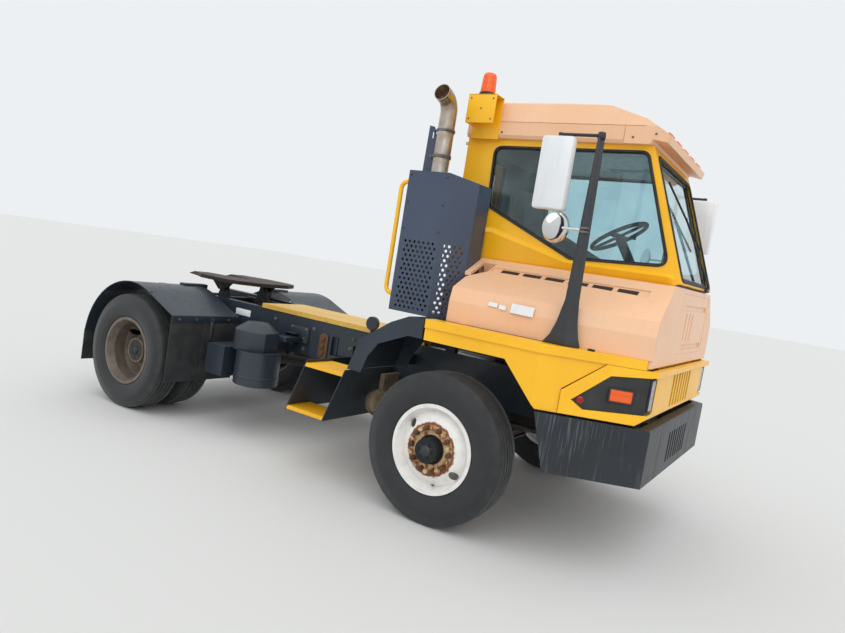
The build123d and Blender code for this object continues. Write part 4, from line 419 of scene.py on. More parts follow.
@dataclass(frozen=True)
class TyreRubber(Finish):
    """Vulcanised road tyre: charcoal rubber, a dusty tread and moulded rings on the side wall."""

    axle: Point = (0.0, 0.0, 0.508)
    base: str = "#222427"
    dust: str = "#454340"
    dust_mm: float = 70.0
    shoulder: float = 0.44
    crown: float = 0.508
    ring_mm: float = 16.0

    def dress(self, tree: Tree, place: Socket) -> dict[str, object]:
        """Give colour, dust and rings.

        Args:
            tree: The material's node tree.
            place: The object coordinates.

        Returns:
            The shader's inputs.
        """
        reach = from_axle(tree, place, self.axle)
        crown = add(tree, "MapRange", {"Value": reach, "From Min": self.shoulder, "From Max": self.crown},
                    interpolation_type="SMOOTHSTEP")
        share = add(tree, "Math", {0: add(tree, "Math", {0: crown, 1: 0.35}, **PRODUCT), 1: 0.1}, **SUM)
        dusty = (self.dust, patches(tree, place, self.dust_mm, 8.0, 0.35, 0.72), share)
        rings = add(tree, "Math", {0: reach, 1: 2 * math.pi * per_metre(self.ring_mm)}, operation="MULTIPLY")
        wave = add(tree, "Math", {0: rings}, operation="SINE")
        edge = add(tree, "MapRange", {"Value": wave, "From Min": 0.6, "From Max": 1.0})
        height = add(tree, "Math", {0: edge, 1: patches(tree, place, 5.0, 3.0, 0.2, 0.8)}, operation="ADD")
        return {"Base Color": layered(tree, self.base, dusty), "Roughness": 0.72, "Sheen Weight": 0.15,
                "Normal": softened(tree, height, 0.5, 3.0)}


@dataclass(frozen=True)
class WheelPaint(Finish):
    """Painted disc wheel: enamel outside, a rusty ring round the studs and a dark oily cap in the middle."""

    axle: Point = (0.0, 0.0, 0.508)
    paint: str = "#EBE9E5"
    rust: str = "#8A5230"
    cream: str = "#CDAE84"
    cap: str = "#15171A"
    rust_edge: float = 0.178
    cap_edge: float = 0.098
    wobble: float = 0.016
    dirt: str = "#8B8279"
    dirt_share: float = 0.2

    def dress(self, tree: Tree, place: Socket) -> dict[str, object]:
        """Give the rings of colour by their distance from the axle.

        Args:
            tree: The material's node tree.
            place: The object coordinates.

        Returns:
            The shader's inputs.
        """
        reach = from_axle(tree, place, self.axle)
        wavy = add(tree, "Math", {0: patches(tree, place, 28.0, 8.0, 0.3, 0.7), 1: self.wobble},
                   operation="MULTIPLY")
        edge = add(tree, "Math", {0: reach, 1: wavy}, operation="ADD")
        rusty, lip, oily = (
            add(tree, "MapRange", {"Value": value, "From Min": start, "From Max": end})
            for value, start, end in ((edge, self.rust_edge + 0.012, self.rust_edge + 0.004),
                                      (edge, self.rust_edge - 0.016, self.rust_edge - 0.006),
                                      (reach, self.cap_edge + 0.002, self.cap_edge - 0.002)))
        eaten = add(tree, "Math", {0: lip, 1: patches(tree, place, 40.0, 8.0, 0.5, 0.6)}, **LARGER)
        dirty = (self.dirt, patches(tree, place, 60.0, 8.0, 0.42, 0.75), self.dirt_share)
        ring = layered(tree, self.cream, (self.rust, eaten))
        dull = add(tree, "MapRange", {"Value": rusty, "To Min": 0.4, "To Max": 0.8})
        pits = add(tree, "Math", {0: patches(tree, place, 6.0, 6.0, 0.2, 0.8), 1: rusty}, **PRODUCT)
        return {"Base Color": layered(tree, self.paint, dirty, (ring, rusty), (self.cap, oily)),
                "Roughness": dull, "Normal": softened(tree, pits, 0.8, 2.0)}


@dataclass(frozen=True)
class WovenCloth(Finish):
    """Woven seat cloth: two thread directions at 3 mm, drawn coarse enough to show."""

    base: str = "#2A2B2E"
    thread: str = "#4A4B50"
    thread_mm: float = 3.0

    def dress(self, tree: Tree, place: Socket) -> dict[str, object]:
        """Give the weave's colour and height.

        Args:
            tree: The material's node tree.
            place: The object coordinates.

        Returns:
            The shader's inputs.
        """
        scale = per_metre(self.thread_mm) / WAVES_PER_SCALE
        warp, weft = (add(tree, "TexWave", {"Vector": place, "Scale": scale},
                          bands_direction=way).outputs["Fac"]
                      for way in ("Y", "Z"))
        weave = add(tree, "Math", {0: warp, 1: weft}, **PRODUCT)
        return {"Base Color": layered(tree, self.base, (self.thread, weave)), "Roughness": 0.9,
                "Sheen Weight": 0.3, "Normal": softened(tree, weave, 0.4, 4.0)}


@dataclass(frozen=True)
class CabEnamel(CoatedSheet):
    """The cab's enamel outside, with a dark grey on every face inside the shell that is part trim colour and
    part painted shade.

    The eye sees yellow steel outside and, through the windows, an inside darkened by that painted shade.
    """

    inner_trim_and_shade: str = "#3A3D40"
    half: float = 0.53
    rear: float = 0.909
    ceiling: float = 2.64
    floor: float = 1.29
    rake: Point = (0.9364, 0.0, 0.3509)
    screen: float = 3.006

    def dress(self, tree: Tree, place: Socket) -> dict[str, object]:
        """Lay the dark grey of the inside, part trim colour and part painted shade, over the enamel inside
        the shell.

        Args:
            tree: The material's node tree.
            place: The object coordinates.

        Returns:
            The shader's inputs.
        """
        inputs = super().dress(tree, place)
        x, y, z = add(tree, "SeparateXYZ", {"Vector": place}).outputs
        side = add(tree, "Math", {0: y}, operation="ABSOLUTE")
        raked = add(tree, "VectorMath", {0: place, 1: self.rake}, operation="DOT_PRODUCT")
        inside = add(tree, "Math", {0: side, 1: self.half}, operation="LESS_THAN")
        for operation, value, limit in (("GREATER_THAN", x, self.rear), ("LESS_THAN", z, self.ceiling),
                                        ("GREATER_THAN", z, self.floor), ("LESS_THAN", raked, self.screen)):
            passed = add(tree, "Math", {0: value, 1: limit}, operation=operation)
            inside = add(tree, "Math", {0: inside, 1: passed}, **PRODUCT)
        # Every face inside the cab turns dark grey: part trim colour, part painted shade of the cab's inside
        inputs["Base Color"] = layered(tree, inputs["Base Color"], (self.inner_trim_and_shade, inside))
        return inputs


# Finishes of the vehicle, with colours as sRGB

YELLOW = {"base": "#FFC014", "worn": "#F7B812", "grime": "#8C744C", "roughness": 0.34, "coat": 0.12,
          "run_share": 0.05, "dust_share": 0.1}
# Sprayed two pack enamel on steel: an even glossy yellow with a soft orange peel
ENAMEL_YELLOW = CoatedSheet("yellow_enamel", **YELLOW)
CAB_SHELL_ENAMEL = CabEnamel("cab_enamel", **YELLOW)
# Moulded glass fibre with its gelcoat, faded by the sun: a chalky peach with a weak gloss
GELCOAT_PEACH = CoatedSheet("peach_gelcoat", base="#EDBB92", worn="#F0C29D", grime="#B08F78",
                            roughness=0.42, coat=0.2, cloud_mm=600.0, run_share=0.07, dust_share=0.05)
# Baked powder coat on folded steel: blue slate with stone chips and dust low down
POWDER_SLATE = CoatedSheet("slate_powder_coat", base="#1A2530", worn="#202C38", grime="#4A4740",
                           roughness=0.42, coat=0.15, run_share=0.15, dust_share=0.25,
                           chip_share=0.4, chip="#5B3F2E")
# The same coat on the sheltered guard: cleaner, with less dust and fewer runs, and lighter and bluer as
# painted light
LIT_GUARD_COAT = CoatedSheet("guard_coat_painted_light", base="#374359", worn="#3C485D", grime="#4E525A",
                           roughness=0.4, coat=0.15, run_share=0.06, dust_share=0.05)
# Brushed on bumper paint: near black with pale upright scrapes
BUMPER_PAINT = CoatedSheet("scuffed_bumper_paint", base="#141B22", worn="#19212A", grime="#3C3731",
                           roughness=0.5, coat=0.1, run_share=0.1, dust_share=0.15, scuff_share=0.2)
# Thin black paint on a cast post: rust comes through at its foot
POST_PAINT = CoatedSheet("rusting_post_paint", base="#24282D", worn="#2A2D31", grime="#5A4A3E",
                         roughness=0.45, coat=0.1, run_share=0.1, dust_share=0.0,
                         chip_share=0.6, chip="#5A3E30")
# Pressed walkway plate in worn yellow: bare brown where feet go, bumps drawn at 32 mm
TREAD_PLATE = CoatedSheet("yellow_tread_plate", base="#E0B54C", worn="#D2A544", grime="#7A5A3C",
                          roughness=0.5, coat=0.1, run_share=0.1, dust_share=0.1,
                          chip_share=1.0, chip="#6B4630", tread_mm=32.0)
# Punched step grating, repainted: clean yellow with raised grips at 26 mm
STEP_GRIP = CoatedSheet("yellow_step_grating", base="#FABB16", worn="#F0B218", grime="#7A5A3C",
                        roughness=0.45, coat=0.1, run_share=0.05, dust_share=0.05,
                        chip_share=0.5, chip="#8A6A40", tread_mm=26.0)
# Dull axle paint under road dirt: brown black, with rust spots
CHASSIS_BLACK = CoatedSheet("black_axle_paint", base="#22262A", worn="#2C2E30", grime="#6B5F50",
                            roughness=0.6, coat=0.0, run_share=0.4, dust_share=0.8,
                            chip_share=0.7, chip="#6B4026")
# Old paint on a brake chamber: sandy and mostly rusted
RUSTY_CAN = CoatedSheet("rusty_can_paint", base="#8C7C63", worn="#6E6250", grime="#4E4232", roughness=0.65,
                        coat=0.0, cloud_mm=90.0, run_share=0.5, dust_share=0.4,
                        chip_share=0.9, chip="#7A4526")
# Glossy moulded polypropylene: a cool white with faint streaks
WHITE_MOULDING = CoatedSheet("white_moulding", base="#E9EBED", worn="#E2E5E8", grime="#A9AAAA",
                             roughness=0.3, coat=0.3, run_share=0.15, dust_share=0.0)
# Extruded flap rubber, hub cap filled with old oil, and a dark brown sheet of painted shade that stands for
# the hollow behind a vent
FLAP_RUBBER = MouldedPart("mud_flap_rubber", base="#181B1F", roughness=0.6, dust_share=0.25)
HUB_CAP = MouldedPart("oily_hub_cap", base="#20252B", roughness=0.4, dust_share=0.15)
VENT_PAINTED_SHADE = MouldedPart("vent_painted_shade", base="#2A1A12", roughness=0.8, dust_share=0.2)
# Moulded nylon, extruded seal, grained dash and the fired black border of a pane
BLACK_PLASTIC = MouldedPart("black_moulding", base="#1A1C1F", roughness=0.45, dust_share=0.2)
EPDM_SEAL = MouldedPart("rubber_seal", base="#141516", roughness=0.65, dust_share=0.25)
DASH_PLASTIC = MouldedPart("dash_moulding", base="#222427", roughness=0.6, dust_share=0.15)
BLACK_FRIT = MouldedPart("black_frit", base="#0B0C0D", roughness=0.2, dust_share=0.08)
# Sand cast iron: the block is dry and dull, the coupling is black with old grease and rust
CAST_BLOCK = BareMetal("engine_casting", base="#3A3835", stain="#2A241E", metallic=0.2, roughness=0.7)
GREASY_CASTING = BareMetal("greasy_casting", base="#1B1A19", stain="#5A3A25", metallic=0.35, roughness=0.5)
# Drawn stainless tube, heat stained, and the aluminised drum under it
STAINLESS = BareMetal("stainless_tube", base="#B9B2A8", stain="#8E7152", roughness=0.22, stain_share=0.75)
MUFFLER_STEEL = BareMetal("aluminised_muffler", base="#7D7A75", stain="#5C4630",
                          metallic=0.8, roughness=0.45)
# Hard chrome on rods and convex mirrors, and silvered mirror glass: near perfect reflections
CHROME = BareMetal("chrome_plate", base="#D9DADA", stain="#9C9C9C", roughness=0.06,
                   stain_share=0.15, grain_depth_mm=0.004)
MIRROR_SILVER = BareMetal("mirror_silver", base="#E6E9EA", stain="#C8CCCE", roughness=0.02,
                          stain_share=0.2, grain_depth_mm=0.0)
# Zinc plated fixings gone grey, and steel ones gone brown with scale
DULL_ALLOY = BareMetal("dull_alloy", base="#7C7B78", stain="#4B453D", roughness=0.55)
RUSTY_FIXINGS = BareMetal("rusty_fixings", base="#5E4636", stain="#8A5230", metallic=0.3, roughness=0.7,
                          stain_mm=14.0, grain_depth_mm=0.15)
CAB_GLASS = Glazing("cab_glass")
AMBER_LENS = Lens("amber_lens")
RED_LENS = Lens("red_lens", tint="#A01414", glow=0.1)
CLEAR_LENS = Lens("clear_lens", tint="#C9CFD2", glow=0.0, clear=0.7)
SEAT_CLOTH = WovenCloth("seat_cloth")
FRONT_AXLE = (1.325, 0.0, 0.508)
REAR_AXLE = (-1.875, 0.0, 0.508)
FRONT_TYRE = TyreRubber("front_tyre_rubber", axle=FRONT_AXLE)
REAR_TYRE = TyreRubber("rear_tyre_rubber", axle=REAR_AXLE)
FRONT_WHEEL = WheelPaint("white_wheel_enamel", axle=FRONT_AXLE)
REAR_WHEEL = WheelPaint("dusty_wheel_enamel", axle=REAR_AXLE, paint="#6C6258", rust="#6A5A4C",
                        cream="#7A6E62", cap="#3A3733", dirt="#51473D", dirt_share=0.8, rust_edge=0.14)

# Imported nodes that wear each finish
WEARERS: tuple[tuple[Finish, str], ...] = (
    (POWDER_SLATE, "chassis_frame front_fender_arms rear_fender_left rear_fender_right "
                   "battery_box air_cleaner fuel_tank step_frames"),
    (BUMPER_PAINT, "bumper"), (LIT_GUARD_COAT, "exhaust_guard"), (TREAD_PLATE, "deck_plate"),
    (STEP_GRIP, "step_treads"), (RUSTY_CAN, "air_canister"), (STAINLESS, "exhaust_stack"),
    (CHASSIS_BLACK, "front_axle front_springs rear_axle driveshaft lift_boom lift_barrels "
                    "tilt_frame tilt_barrel knuckle_left knuckle_right tie_rod"),
    (CAST_BLOCK, "engine"), (DULL_ALLOY, "radiator"), (GREASY_CASTING, "fifth_wheel"),
    (CHROME, "lift_rods tilt_rod spot_mirrors"), (CAB_SHELL_ENAMEL, "cab_shell"),
    (ENAMEL_YELLOW, "grab_handle deck_rail_skirt front_fascia rear_door beacon_box"),
    (GELCOAT_PEACH, "hood_shell front_panel roof_cap"), (BLACK_PLASTIC, "lamp_pods mirror_posts"),
    (WHITE_MOULDING, "mirrors"), (DASH_PLASTIC, "steering_column"), (SEAT_CLOTH, "seat"),
    (CAB_GLASS, "side_glass windscreen rear_door_glass"), (AMBER_LENS, "signal_lamps beacon"),
    (RED_LENS, "tail_lamps"), (CLEAR_LENS, "headlamps"), (FRONT_TYRE, "tyre_front_left tyre_front_right"),
    (REAR_TYRE, "tyres_rear_left tyres_rear_right"), (FRONT_WHEEL, "wheel_front_left wheel_front_right"),
    (REAR_WHEEL, "wheels_rear_left wheels_rear_right"))
NODE_FINISHES = {name: finish for finish, names in WEARERS for name in names.split()}


@dataclass
class Studio:
    """Pale floor, soft lamps and the camera at the photograph's angle."""

    camera_place: Point = (3.41006, -4.91113, 1.70566)
    yaw: float = math.radians(-31.537)
    pitch: float = math.radians(-4.614)
    roll: float = math.radians(9.128)
    lens_mm: float = 28.60
    sensor_mm: float = 36.0
    floor_half: float = 60.0
    pale: str = "#D6D6D4"
    sky: str = "#EDF0F2"
    sky_light: float = 0.85
    # Name, place, spread in degrees and strength of each lamp
    lamps: tuple[tuple[str, Point, float, float], ...] = (("key_sun", (4.5, -7.0, 7.5), 70.0, 0.65),
                                                          ("top_sun", (1.0, -3.0, 9.0), 100.0, 0.95))

    def set_camera(self) -> None:
        """Place the camera with its yaw, pitch and roll."""
        flat = math.cos(self.pitch)
        forward = Vector((math.sin(self.yaw) * flat, math.cos(self.yaw) * flat, math.sin(self.pitch)))
        level = Vector((math.cos(self.yaw), -math.sin(self.yaw), 0.0))
        upward = level.cross(forward)
        right = math.cos(self.roll) * level + math.sin(self.roll) * upward
        up = -math.sin(self.roll) * level + math.cos(self.roll) * upward
        camera = bpy.data.cameras.new("photo_camera")
        camera.lens = self.lens_mm
        camera.sensor_width = self.sensor_mm
        camera.sensor_fit = "HORIZONTAL"
        holder = bpy.data.objects.new("photo_camera", camera)
        turn = Matrix((right, up, -forward)).transposed().to_4x4()
        holder.matrix_world = Matrix.Translation(self.camera_place) @ turn
        bpy.context.scene.collection.objects.link(holder)
        bpy.context.scene.camera = holder

    def lay_floor(self) -> None:
        """Lay a pale floor under the wheels."""
        bm = bmesh.new()
        bmesh.ops.create_grid(bm, x_segments=1, y_segments=1, size=self.floor_half)
        mesh = bpy.data.meshes.new("studio_floor")
        bm.to_mesh(mesh)
        bm.free()
        floor = bpy.data.objects.new("studio_floor", mesh)
        material = bpy.data.materials.new("studio_floor")
        material.use_nodes = True
        shader = material.node_tree.nodes["Principled BSDF"]
        shader.inputs["Base Color"].default_value = linear(self.pale)
        shader.inputs["Roughness"].default_value = 0.9
        mesh.materials.append(material)
        bpy.context.scene.collection.objects.link(floor)

    def light(self) -> None:
        """Hang a broad key lamp and a top lamp under an even pale sky."""
        world = bpy.data.worlds.new("studio_sky")
        bpy.context.scene.world = world
        world.use_nodes = True
        tree = world.node_tree
        tree.nodes.clear()
        rays = add(tree, "LightPath").outputs
        seen = add(tree, "Math", {0: rays["Is Camera Ray"], 1: rays["Is Transmission Ray"]}, **LARGER)
        mirrored = add(tree, "Math", {0: seen, 1: rays["Is Glossy Ray"]}, **LARGER)
        glow = add(tree, "MapRange", {"Value": mirrored, "To Min": self.sky_light, "To Max": 1.0})
        sky = add(tree, "Background", {"Color": linear(self.sky), "Strength": glow})
        add(tree, "OutputWorld", {"Surface": sky})
        for name, place, spread, strength in self.lamps:
            lamp = bpy.data.lights.new(name, "SUN")
            lamp.angle = math.radians(spread)
            lamp.energy = strength
            holder = bpy.data.objects.new(name, lamp)
            holder.location = place
            aim = -Vector(place)
            holder.rotation_euler = aim.to_track_quat("-Z", "Y").to_euler()
            bpy.context.scene.collection.objects.link(holder)


@dataclass
class PackedNodes:
    """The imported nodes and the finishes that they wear."""

    nodes: dict[str, bpy.types.Object]
    made: dict[str, bpy.types.Material] = field(default_factory=dict)

    def material(self, finish: Finish) -> bpy.types.Material:
        """Give a finish's material, made once.

        Args:
            finish: The finish.

        Returns:
            Its material.
        """
        if finish.label not in self.made:
            self.made[finish.label] = finish.build()
        return self.made[finish.label]

    def dress(self) -> None:
        """Put every node's finish in its material slots."""
        for name, node in self.nodes.items():
            finish = NODE_FINISHES[name]
            material = self.material(finish)
            if not node.data.materials:
                node.data.materials.append(material)
            for i in range(len(node.material_slots)):
                node.material_slots[i].material = material
            log.info("finish %s on %s", finish.label, name)


# Shapes: each gives a new mesh in metres, from places in vehicle millimetres measured from the front axle

ORIGIN_SHIFT = 1325.0
REAR_AXLE_X = -3200.0
AXLE_Z = 508.0
RAIL_FACE = 430.3
CAB_SIDE = -605.3
BEVEL = {"segments": 2, "profile": 0.5, "affect": "EDGES", "material": -1}


class Body(Enum):
    """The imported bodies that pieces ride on."""

    CHASSIS = "chassis"
    CAB = "cab"
    DOOR = "sliding_door"
    FRONT_LEFT = "front_wheel_left"
    FRONT_RIGHT = "front_wheel_right"
    REAR_LEFT = "rear_wheels_left"
    REAR_RIGHT = "rear_wheels_right"


def at(x: float, y: float, z: float) -> Vector:
    """Turn a place in vehicle millimetres into metres in the row frame."""
    return Vector(((x + ORIGIN_SHIFT) / 1000, y / 1000, z / 1000))


def corners_of(geometry: Sequence[object]) -> list[bmesh.types.BMVert]:
    """Give the vertices among what an operator made."""
    return [part for part in geometry if isinstance(part, bmesh.types.BMVert)]


def block(low: Point, high: Point, edge: float = 2.0) -> Shape:
    """A bar or plate between two corners, with its edges rounded.

    Args:
        low: Lowest corner, in millimetres.
        high: Highest corner.
        edge: Radius of its edges.

    Returns:
        The shape.
    """
    shape = bmesh.new()
    bmesh.ops.create_cube(shape, size=1.0)
    first, last = at(*low), at(*high)
    for vert in shape.verts:
        vert.co = (first + last) / 2 + vert.co * (last - first)
    bmesh.ops.bevel(shape, geom=shape.edges[:], offset=edge / 1000, **BEVEL)
    return shape


def drum(start: Point, end: Point, foot: float, top: float | None = None, sides: int = 24,
         edge: float = 0.0) -> Shape:
    """A round or many sided bar between two points.

    Args:
        start: Middle of its first end, in millimetres.
        end: Middle of its other end.
        foot: Radius at the start.
        top: Radius at the end, the same where none is given.
        sides: Number of sides.
        edge: Radius of its rim at both ends.

    Returns:
        The shape.
    """
    shape = bmesh.new()
    first, last = at(*start), at(*end)
    along = last - first
    bmesh.ops.create_cone(shape, cap_ends=True, segments=sides, radius1=foot / 1000,
                          radius2=(foot if top is None else top) / 1000, depth=along.length)
    if edge:
        rims = [e for e in shape.edges if abs(e.verts[0].co.z - e.verts[1].co.z) < 1e-6]
        bmesh.ops.bevel(shape, geom=rims, offset=edge / 1000, **BEVEL)
    turn = along.to_track_quat("Z", "Y").to_matrix().to_4x4()
    shape.transform(Matrix.Translation((first + last) / 2) @ turn)
    return shape


def lathe(outline: Sequence[tuple[float, float]], centre: Point, axis: Vector, sides: int = 48,
          closed: bool = False) -> Shape:
    """Spin an outline round an axis.

    Args:
        outline: Corners as (radius, distance along the axis), in millimetres.
        centre: Where the axis starts.
        axis: Its direction.
        sides: Number of sides.
        closed: Whether the last corner joins the first.

    Returns:
        The shape, with its poles closed.
    """
    shape = bmesh.new()
    verts = [shape.verts.new((radius / 1000, 0.0, along / 1000)) for radius, along in outline]
    pairs = list(zip(verts, verts[1:])) + ([(verts[-1], verts[0])] if closed else [])
    edges = [shape.edges.new(pair) for pair in pairs]
    bmesh.ops.spin(shape, geom=verts + edges, cent=(0, 0, 0), axis=(0, 0, 1), dvec=(0, 0, 0),
                   angle=2 * math.pi, steps=sides, use_merge=True, use_duplicate=False)
    bmesh.ops.remove_doubles(shape, verts=shape.verts[:], dist=1e-6)
    turn = axis.to_track_quat("Z", "X").to_matrix().to_4x4()
    shape.transform(Matrix.Translation(at(*centre)) @ turn)
    return shape


def prism(corners: Sequence[Point], depth: Point, edge: float = 0.0) -> Shape:
    """A flat outline carried along a vector.

    Args:
        corners: The outline's corners, in millimetres.
        depth: The vector, in millimetres.
        edge: Radius of its edges.

    Returns:
        The shape.
    """
    shape = bmesh.new()
    face = shape.faces.new([shape.verts.new(at(*corner)) for corner in corners])
    grown = bmesh.ops.extrude_face_region(shape, geom=[face])["geom"]
    bmesh.ops.translate(shape, vec=Vector(depth) / 1000, verts=corners_of(grown))
    if edge:
        bmesh.ops.bevel(shape, geom=shape.edges[:], offset=edge / 1000, **BEVEL)
    return shape


def loft(sections: Sequence[Sequence[Point]], edge: float) -> Shape:
    """A closed body through sections with the same number of corners.

    Args:
        sections: The corners of each section, in millimetres.
        edge: Radius of its edges.

    Returns:
        The shape.
    """
    shape = bmesh.new()
    rings = [[shape.verts.new(at(*corner)) for corner in section] for section in sections]
    for low, high in zip(rings, rings[1:]):
        for i in range(len(low)):
            j = (i + 1) % len(low)
            shape.faces.new((low[i], low[j], high[j], high[i]))
    shape.faces.new(rings[0])
    shape.faces.new(rings[-1])
    bmesh.ops.recalc_face_normals(shape, faces=shape.faces[:])
    sharp = [e for e in shape.edges if e.calc_face_angle(0.0) > 0.5]
    bmesh.ops.bevel(shape, geom=sharp, offset=edge / 1000, **BEVEL)
    return shape


def tube(path: Sequence[Point], radius: float, sides: int = 12) -> Shape:
    """A bent bar or pipe along a path.

    Args:
        path: Its points, in millimetres.
        radius: Its radius.
        sides: Number of sides.

    Returns:
        The shape, with closed ends.
    """
    shape = bmesh.new()
    points = [at(*p) for p in path]
    first = points[1] - points[0]
    turn = first.to_track_quat("Z", "Y")
    places = []
    for i, point in enumerate(points):
        ahead = points[min(i + 1, len(points) - 1)] - points[max(i - 1, 0)]
        turn = (turn @ Vector((0, 0, 1))).rotation_difference(ahead) @ turn
        places.append(Matrix.Translation(point) @ turn.to_matrix().to_4x4())
    ring = bmesh.ops.create_circle(shape, cap_ends=True, segments=sides, radius=radius / 1000)["verts"]
    bmesh.ops.transform(shape, matrix=places[0], verts=ring)
    face = shape.faces[:]
    for before, after in zip(places, places[1:]):
        grown = bmesh.ops.extrude_face_region(shape, geom=face)["geom"]
        bmesh.ops.delete(shape, geom=[f for f in face if f.is_valid], context="FACES_ONLY")
        face = [g for g in grown if isinstance(g, bmesh.types.BMFace)]
        new = corners_of(grown)
        bmesh.ops.transform(shape, matrix=after @ before.inverted(), verts=new)
    bmesh.ops.holes_fill(shape, edges=[e for e in shape.edges if e.is_boundary], sides=0)
    bmesh.ops.recalc_face_normals(shape, faces=shape.faces[:])
    return shape


def rounded(corners: Sequence[tuple[float, float]], radius: float, steps: int = 6) -> list[Vector]:
    """Round a flat outline's corners.

    Args:
        corners: Corners in the plane, in millimetres.
        radius: Radius of the rounding.
        steps: Points on each corner.

    Returns:
        The rounded outline's points.
    """
    points = [Vector(c) for c in corners]
    result = []
    for i, corner in enumerate(points):
        before = (points[i - 1] - corner).normalized()
        after = (points[(i + 1) % len(points)] - corner).normalized()
        reach = radius / math.tan(before.angle(after) / 2)
        start, end = corner + before * reach, corner + after * reach
        for step in range(steps + 1):
            share = step / steps
            result.append(start.lerp(corner, share).lerp(corner.lerp(end, share), share))
    return result


def band_ring(outline: Sequence[Vector], grow: float, shrink: float, place: Callable[[Vector], Vector],
              depth: Vector) -> Shape:
    """A flat ring that follows an outline, such as a window's seal.

    Args:
        outline: Points in the plane.
        grow: How far it reaches outside them, in millimetres.
        shrink: How far it reaches inside them.
        place: Gives the place in metres of a point in the plane.
        depth: Its thickness as a vector, in metres.

    Returns:
        The shape with softened edges.
    """
    middle = sum(outline, Vector((0.0, 0.0))) / len(outline)
    shape = bmesh.new()
    loops = []
    for amount in (grow, -shrink):
        loop = []
        for i, point in enumerate(outline):
            run = outline[(i + 1) % len(outline)] - outline[i - 1]
            side = Vector((run.y, -run.x)).normalized()
            if side.dot(point - middle) < 0:
                side = -side
            loop.append(shape.verts.new(place(point + side * amount)))
        loops.append(loop)
    count = len(outline)
    for i in range(count):
        shape.faces.new((loops[0][i], loops[0][(i + 1) % count], loops[1][(i + 1) % count], loops[1][i]))
    raised = bmesh.ops.extrude_face_region(shape, geom=shape.faces[:])["geom"]
    bmesh.ops.translate(shape, vec=depth, verts=corners_of(raised))
    bmesh.ops.recalc_face_normals(shape, faces=shape.faces[:])
    rims = [e for e in shape.edges if e.calc_face_angle(0.0) > 1.0]
    bmesh.ops.bevel(shape, geom=rims, offset=depth.length * 0.3, **BEVEL)
    return shape


def bolt(place: Point, way: Vector, across: float = 20.0) -> Shape:
    """A hexagon head on its washer.

    Args:
        place: Middle of the washer's foot, in millimetres.
        way: Direction in which the head stands.
        across: Width of the head over its corners.

    Returns:
        The shape.
    """
    foot = Vector(place)
    washer = drum(tuple(foot), tuple(foot + way * across * 0.12), across * 0.72, sides=20, edge=0.4)
    head = drum(tuple(foot + way * across * 0.1), tuple(foot + way * across * 0.5), across / 2, sides=6,
                edge=0.8)
    joined = bpy.data.meshes.new("bolt_head")
    head.to_mesh(joined)
    head.free()
    washer.from_mesh(joined)
    bpy.data.meshes.remove(joined)
    return washer


@dataclass
class Workpiece:
    """One finished object: joined shapes, each with its finish, that ride a body."""

    name: str
    body: Body
    shop: PackedNodes
    whole: Shape = field(default_factory=bmesh.new)
    finishes: list[Finish] = field(default_factory=list)

    def put(self, shape: Shape, finish: Finish, both: bool = False) -> None:
        """Join a shape, and its twin across the vehicle's middle where asked.

        Args:
            shape: The shape, which is used up.
            finish: Its finish.
            both: Whether the other side gets one too.
        """
        if finish not in self.finishes:
            self.finishes.append(finish)
        for face in shape.faces:
            face.material_index = self.finishes.index(finish)
        bmesh.ops.recalc_face_normals(shape, faces=shape.faces[:])
        spare = bpy.data.meshes.new("spare")
        shape.to_mesh(spare)
        self.whole.from_mesh(spare)
        if both:
            shape.transform(Matrix.Scale(-1.0, 4, (0, 1, 0)))
            bmesh.ops.reverse_faces(shape, faces=shape.faces[:])
            shape.to_mesh(spare)
            self.whole.from_mesh(spare)
        shape.free()
        bpy.data.meshes.remove(spare)

    def finish(self, smooth: float = 40.0, replaces: Sequence[str] = ()) -> bpy.types.Object:
        """Turn the joined shapes into an object and let it ride.

        Args:
            smooth: Edges sharper than this angle stay sharp.
            replaces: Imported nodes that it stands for.

        Returns:
            The object.
        """
        mesh = bpy.data.meshes.new(self.name)
        for face in self.whole.faces:
            face.smooth = True
        for edge in self.whole.edges:
            edge.smooth = edge.calc_face_angle(0.0) < math.radians(smooth)
        self.whole.to_mesh(mesh)
        self.whole.free()
        for finish in self.finishes:
            mesh.materials.append(self.shop.material(finish))
        piece = bpy.data.objects.new(self.name, mesh)
        bpy.context.scene.collection.objects.link(piece)
        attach(piece, self.body.value)
        if replaces:
            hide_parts(*replaces)
        log.info("piece %s on %s with %d faces", self.name, self.body.value, len(mesh.polygons))
        return piece


OUT_RIGHT = Vector((0.0, -1.0, 0.0))
OUT_LEFT = Vector((0.0, 1.0, 0.0))
FORWARD = Vector((1.0, 0.0, 0.0))
UPWARD = Vector((0.0, 0.0, 1.0))


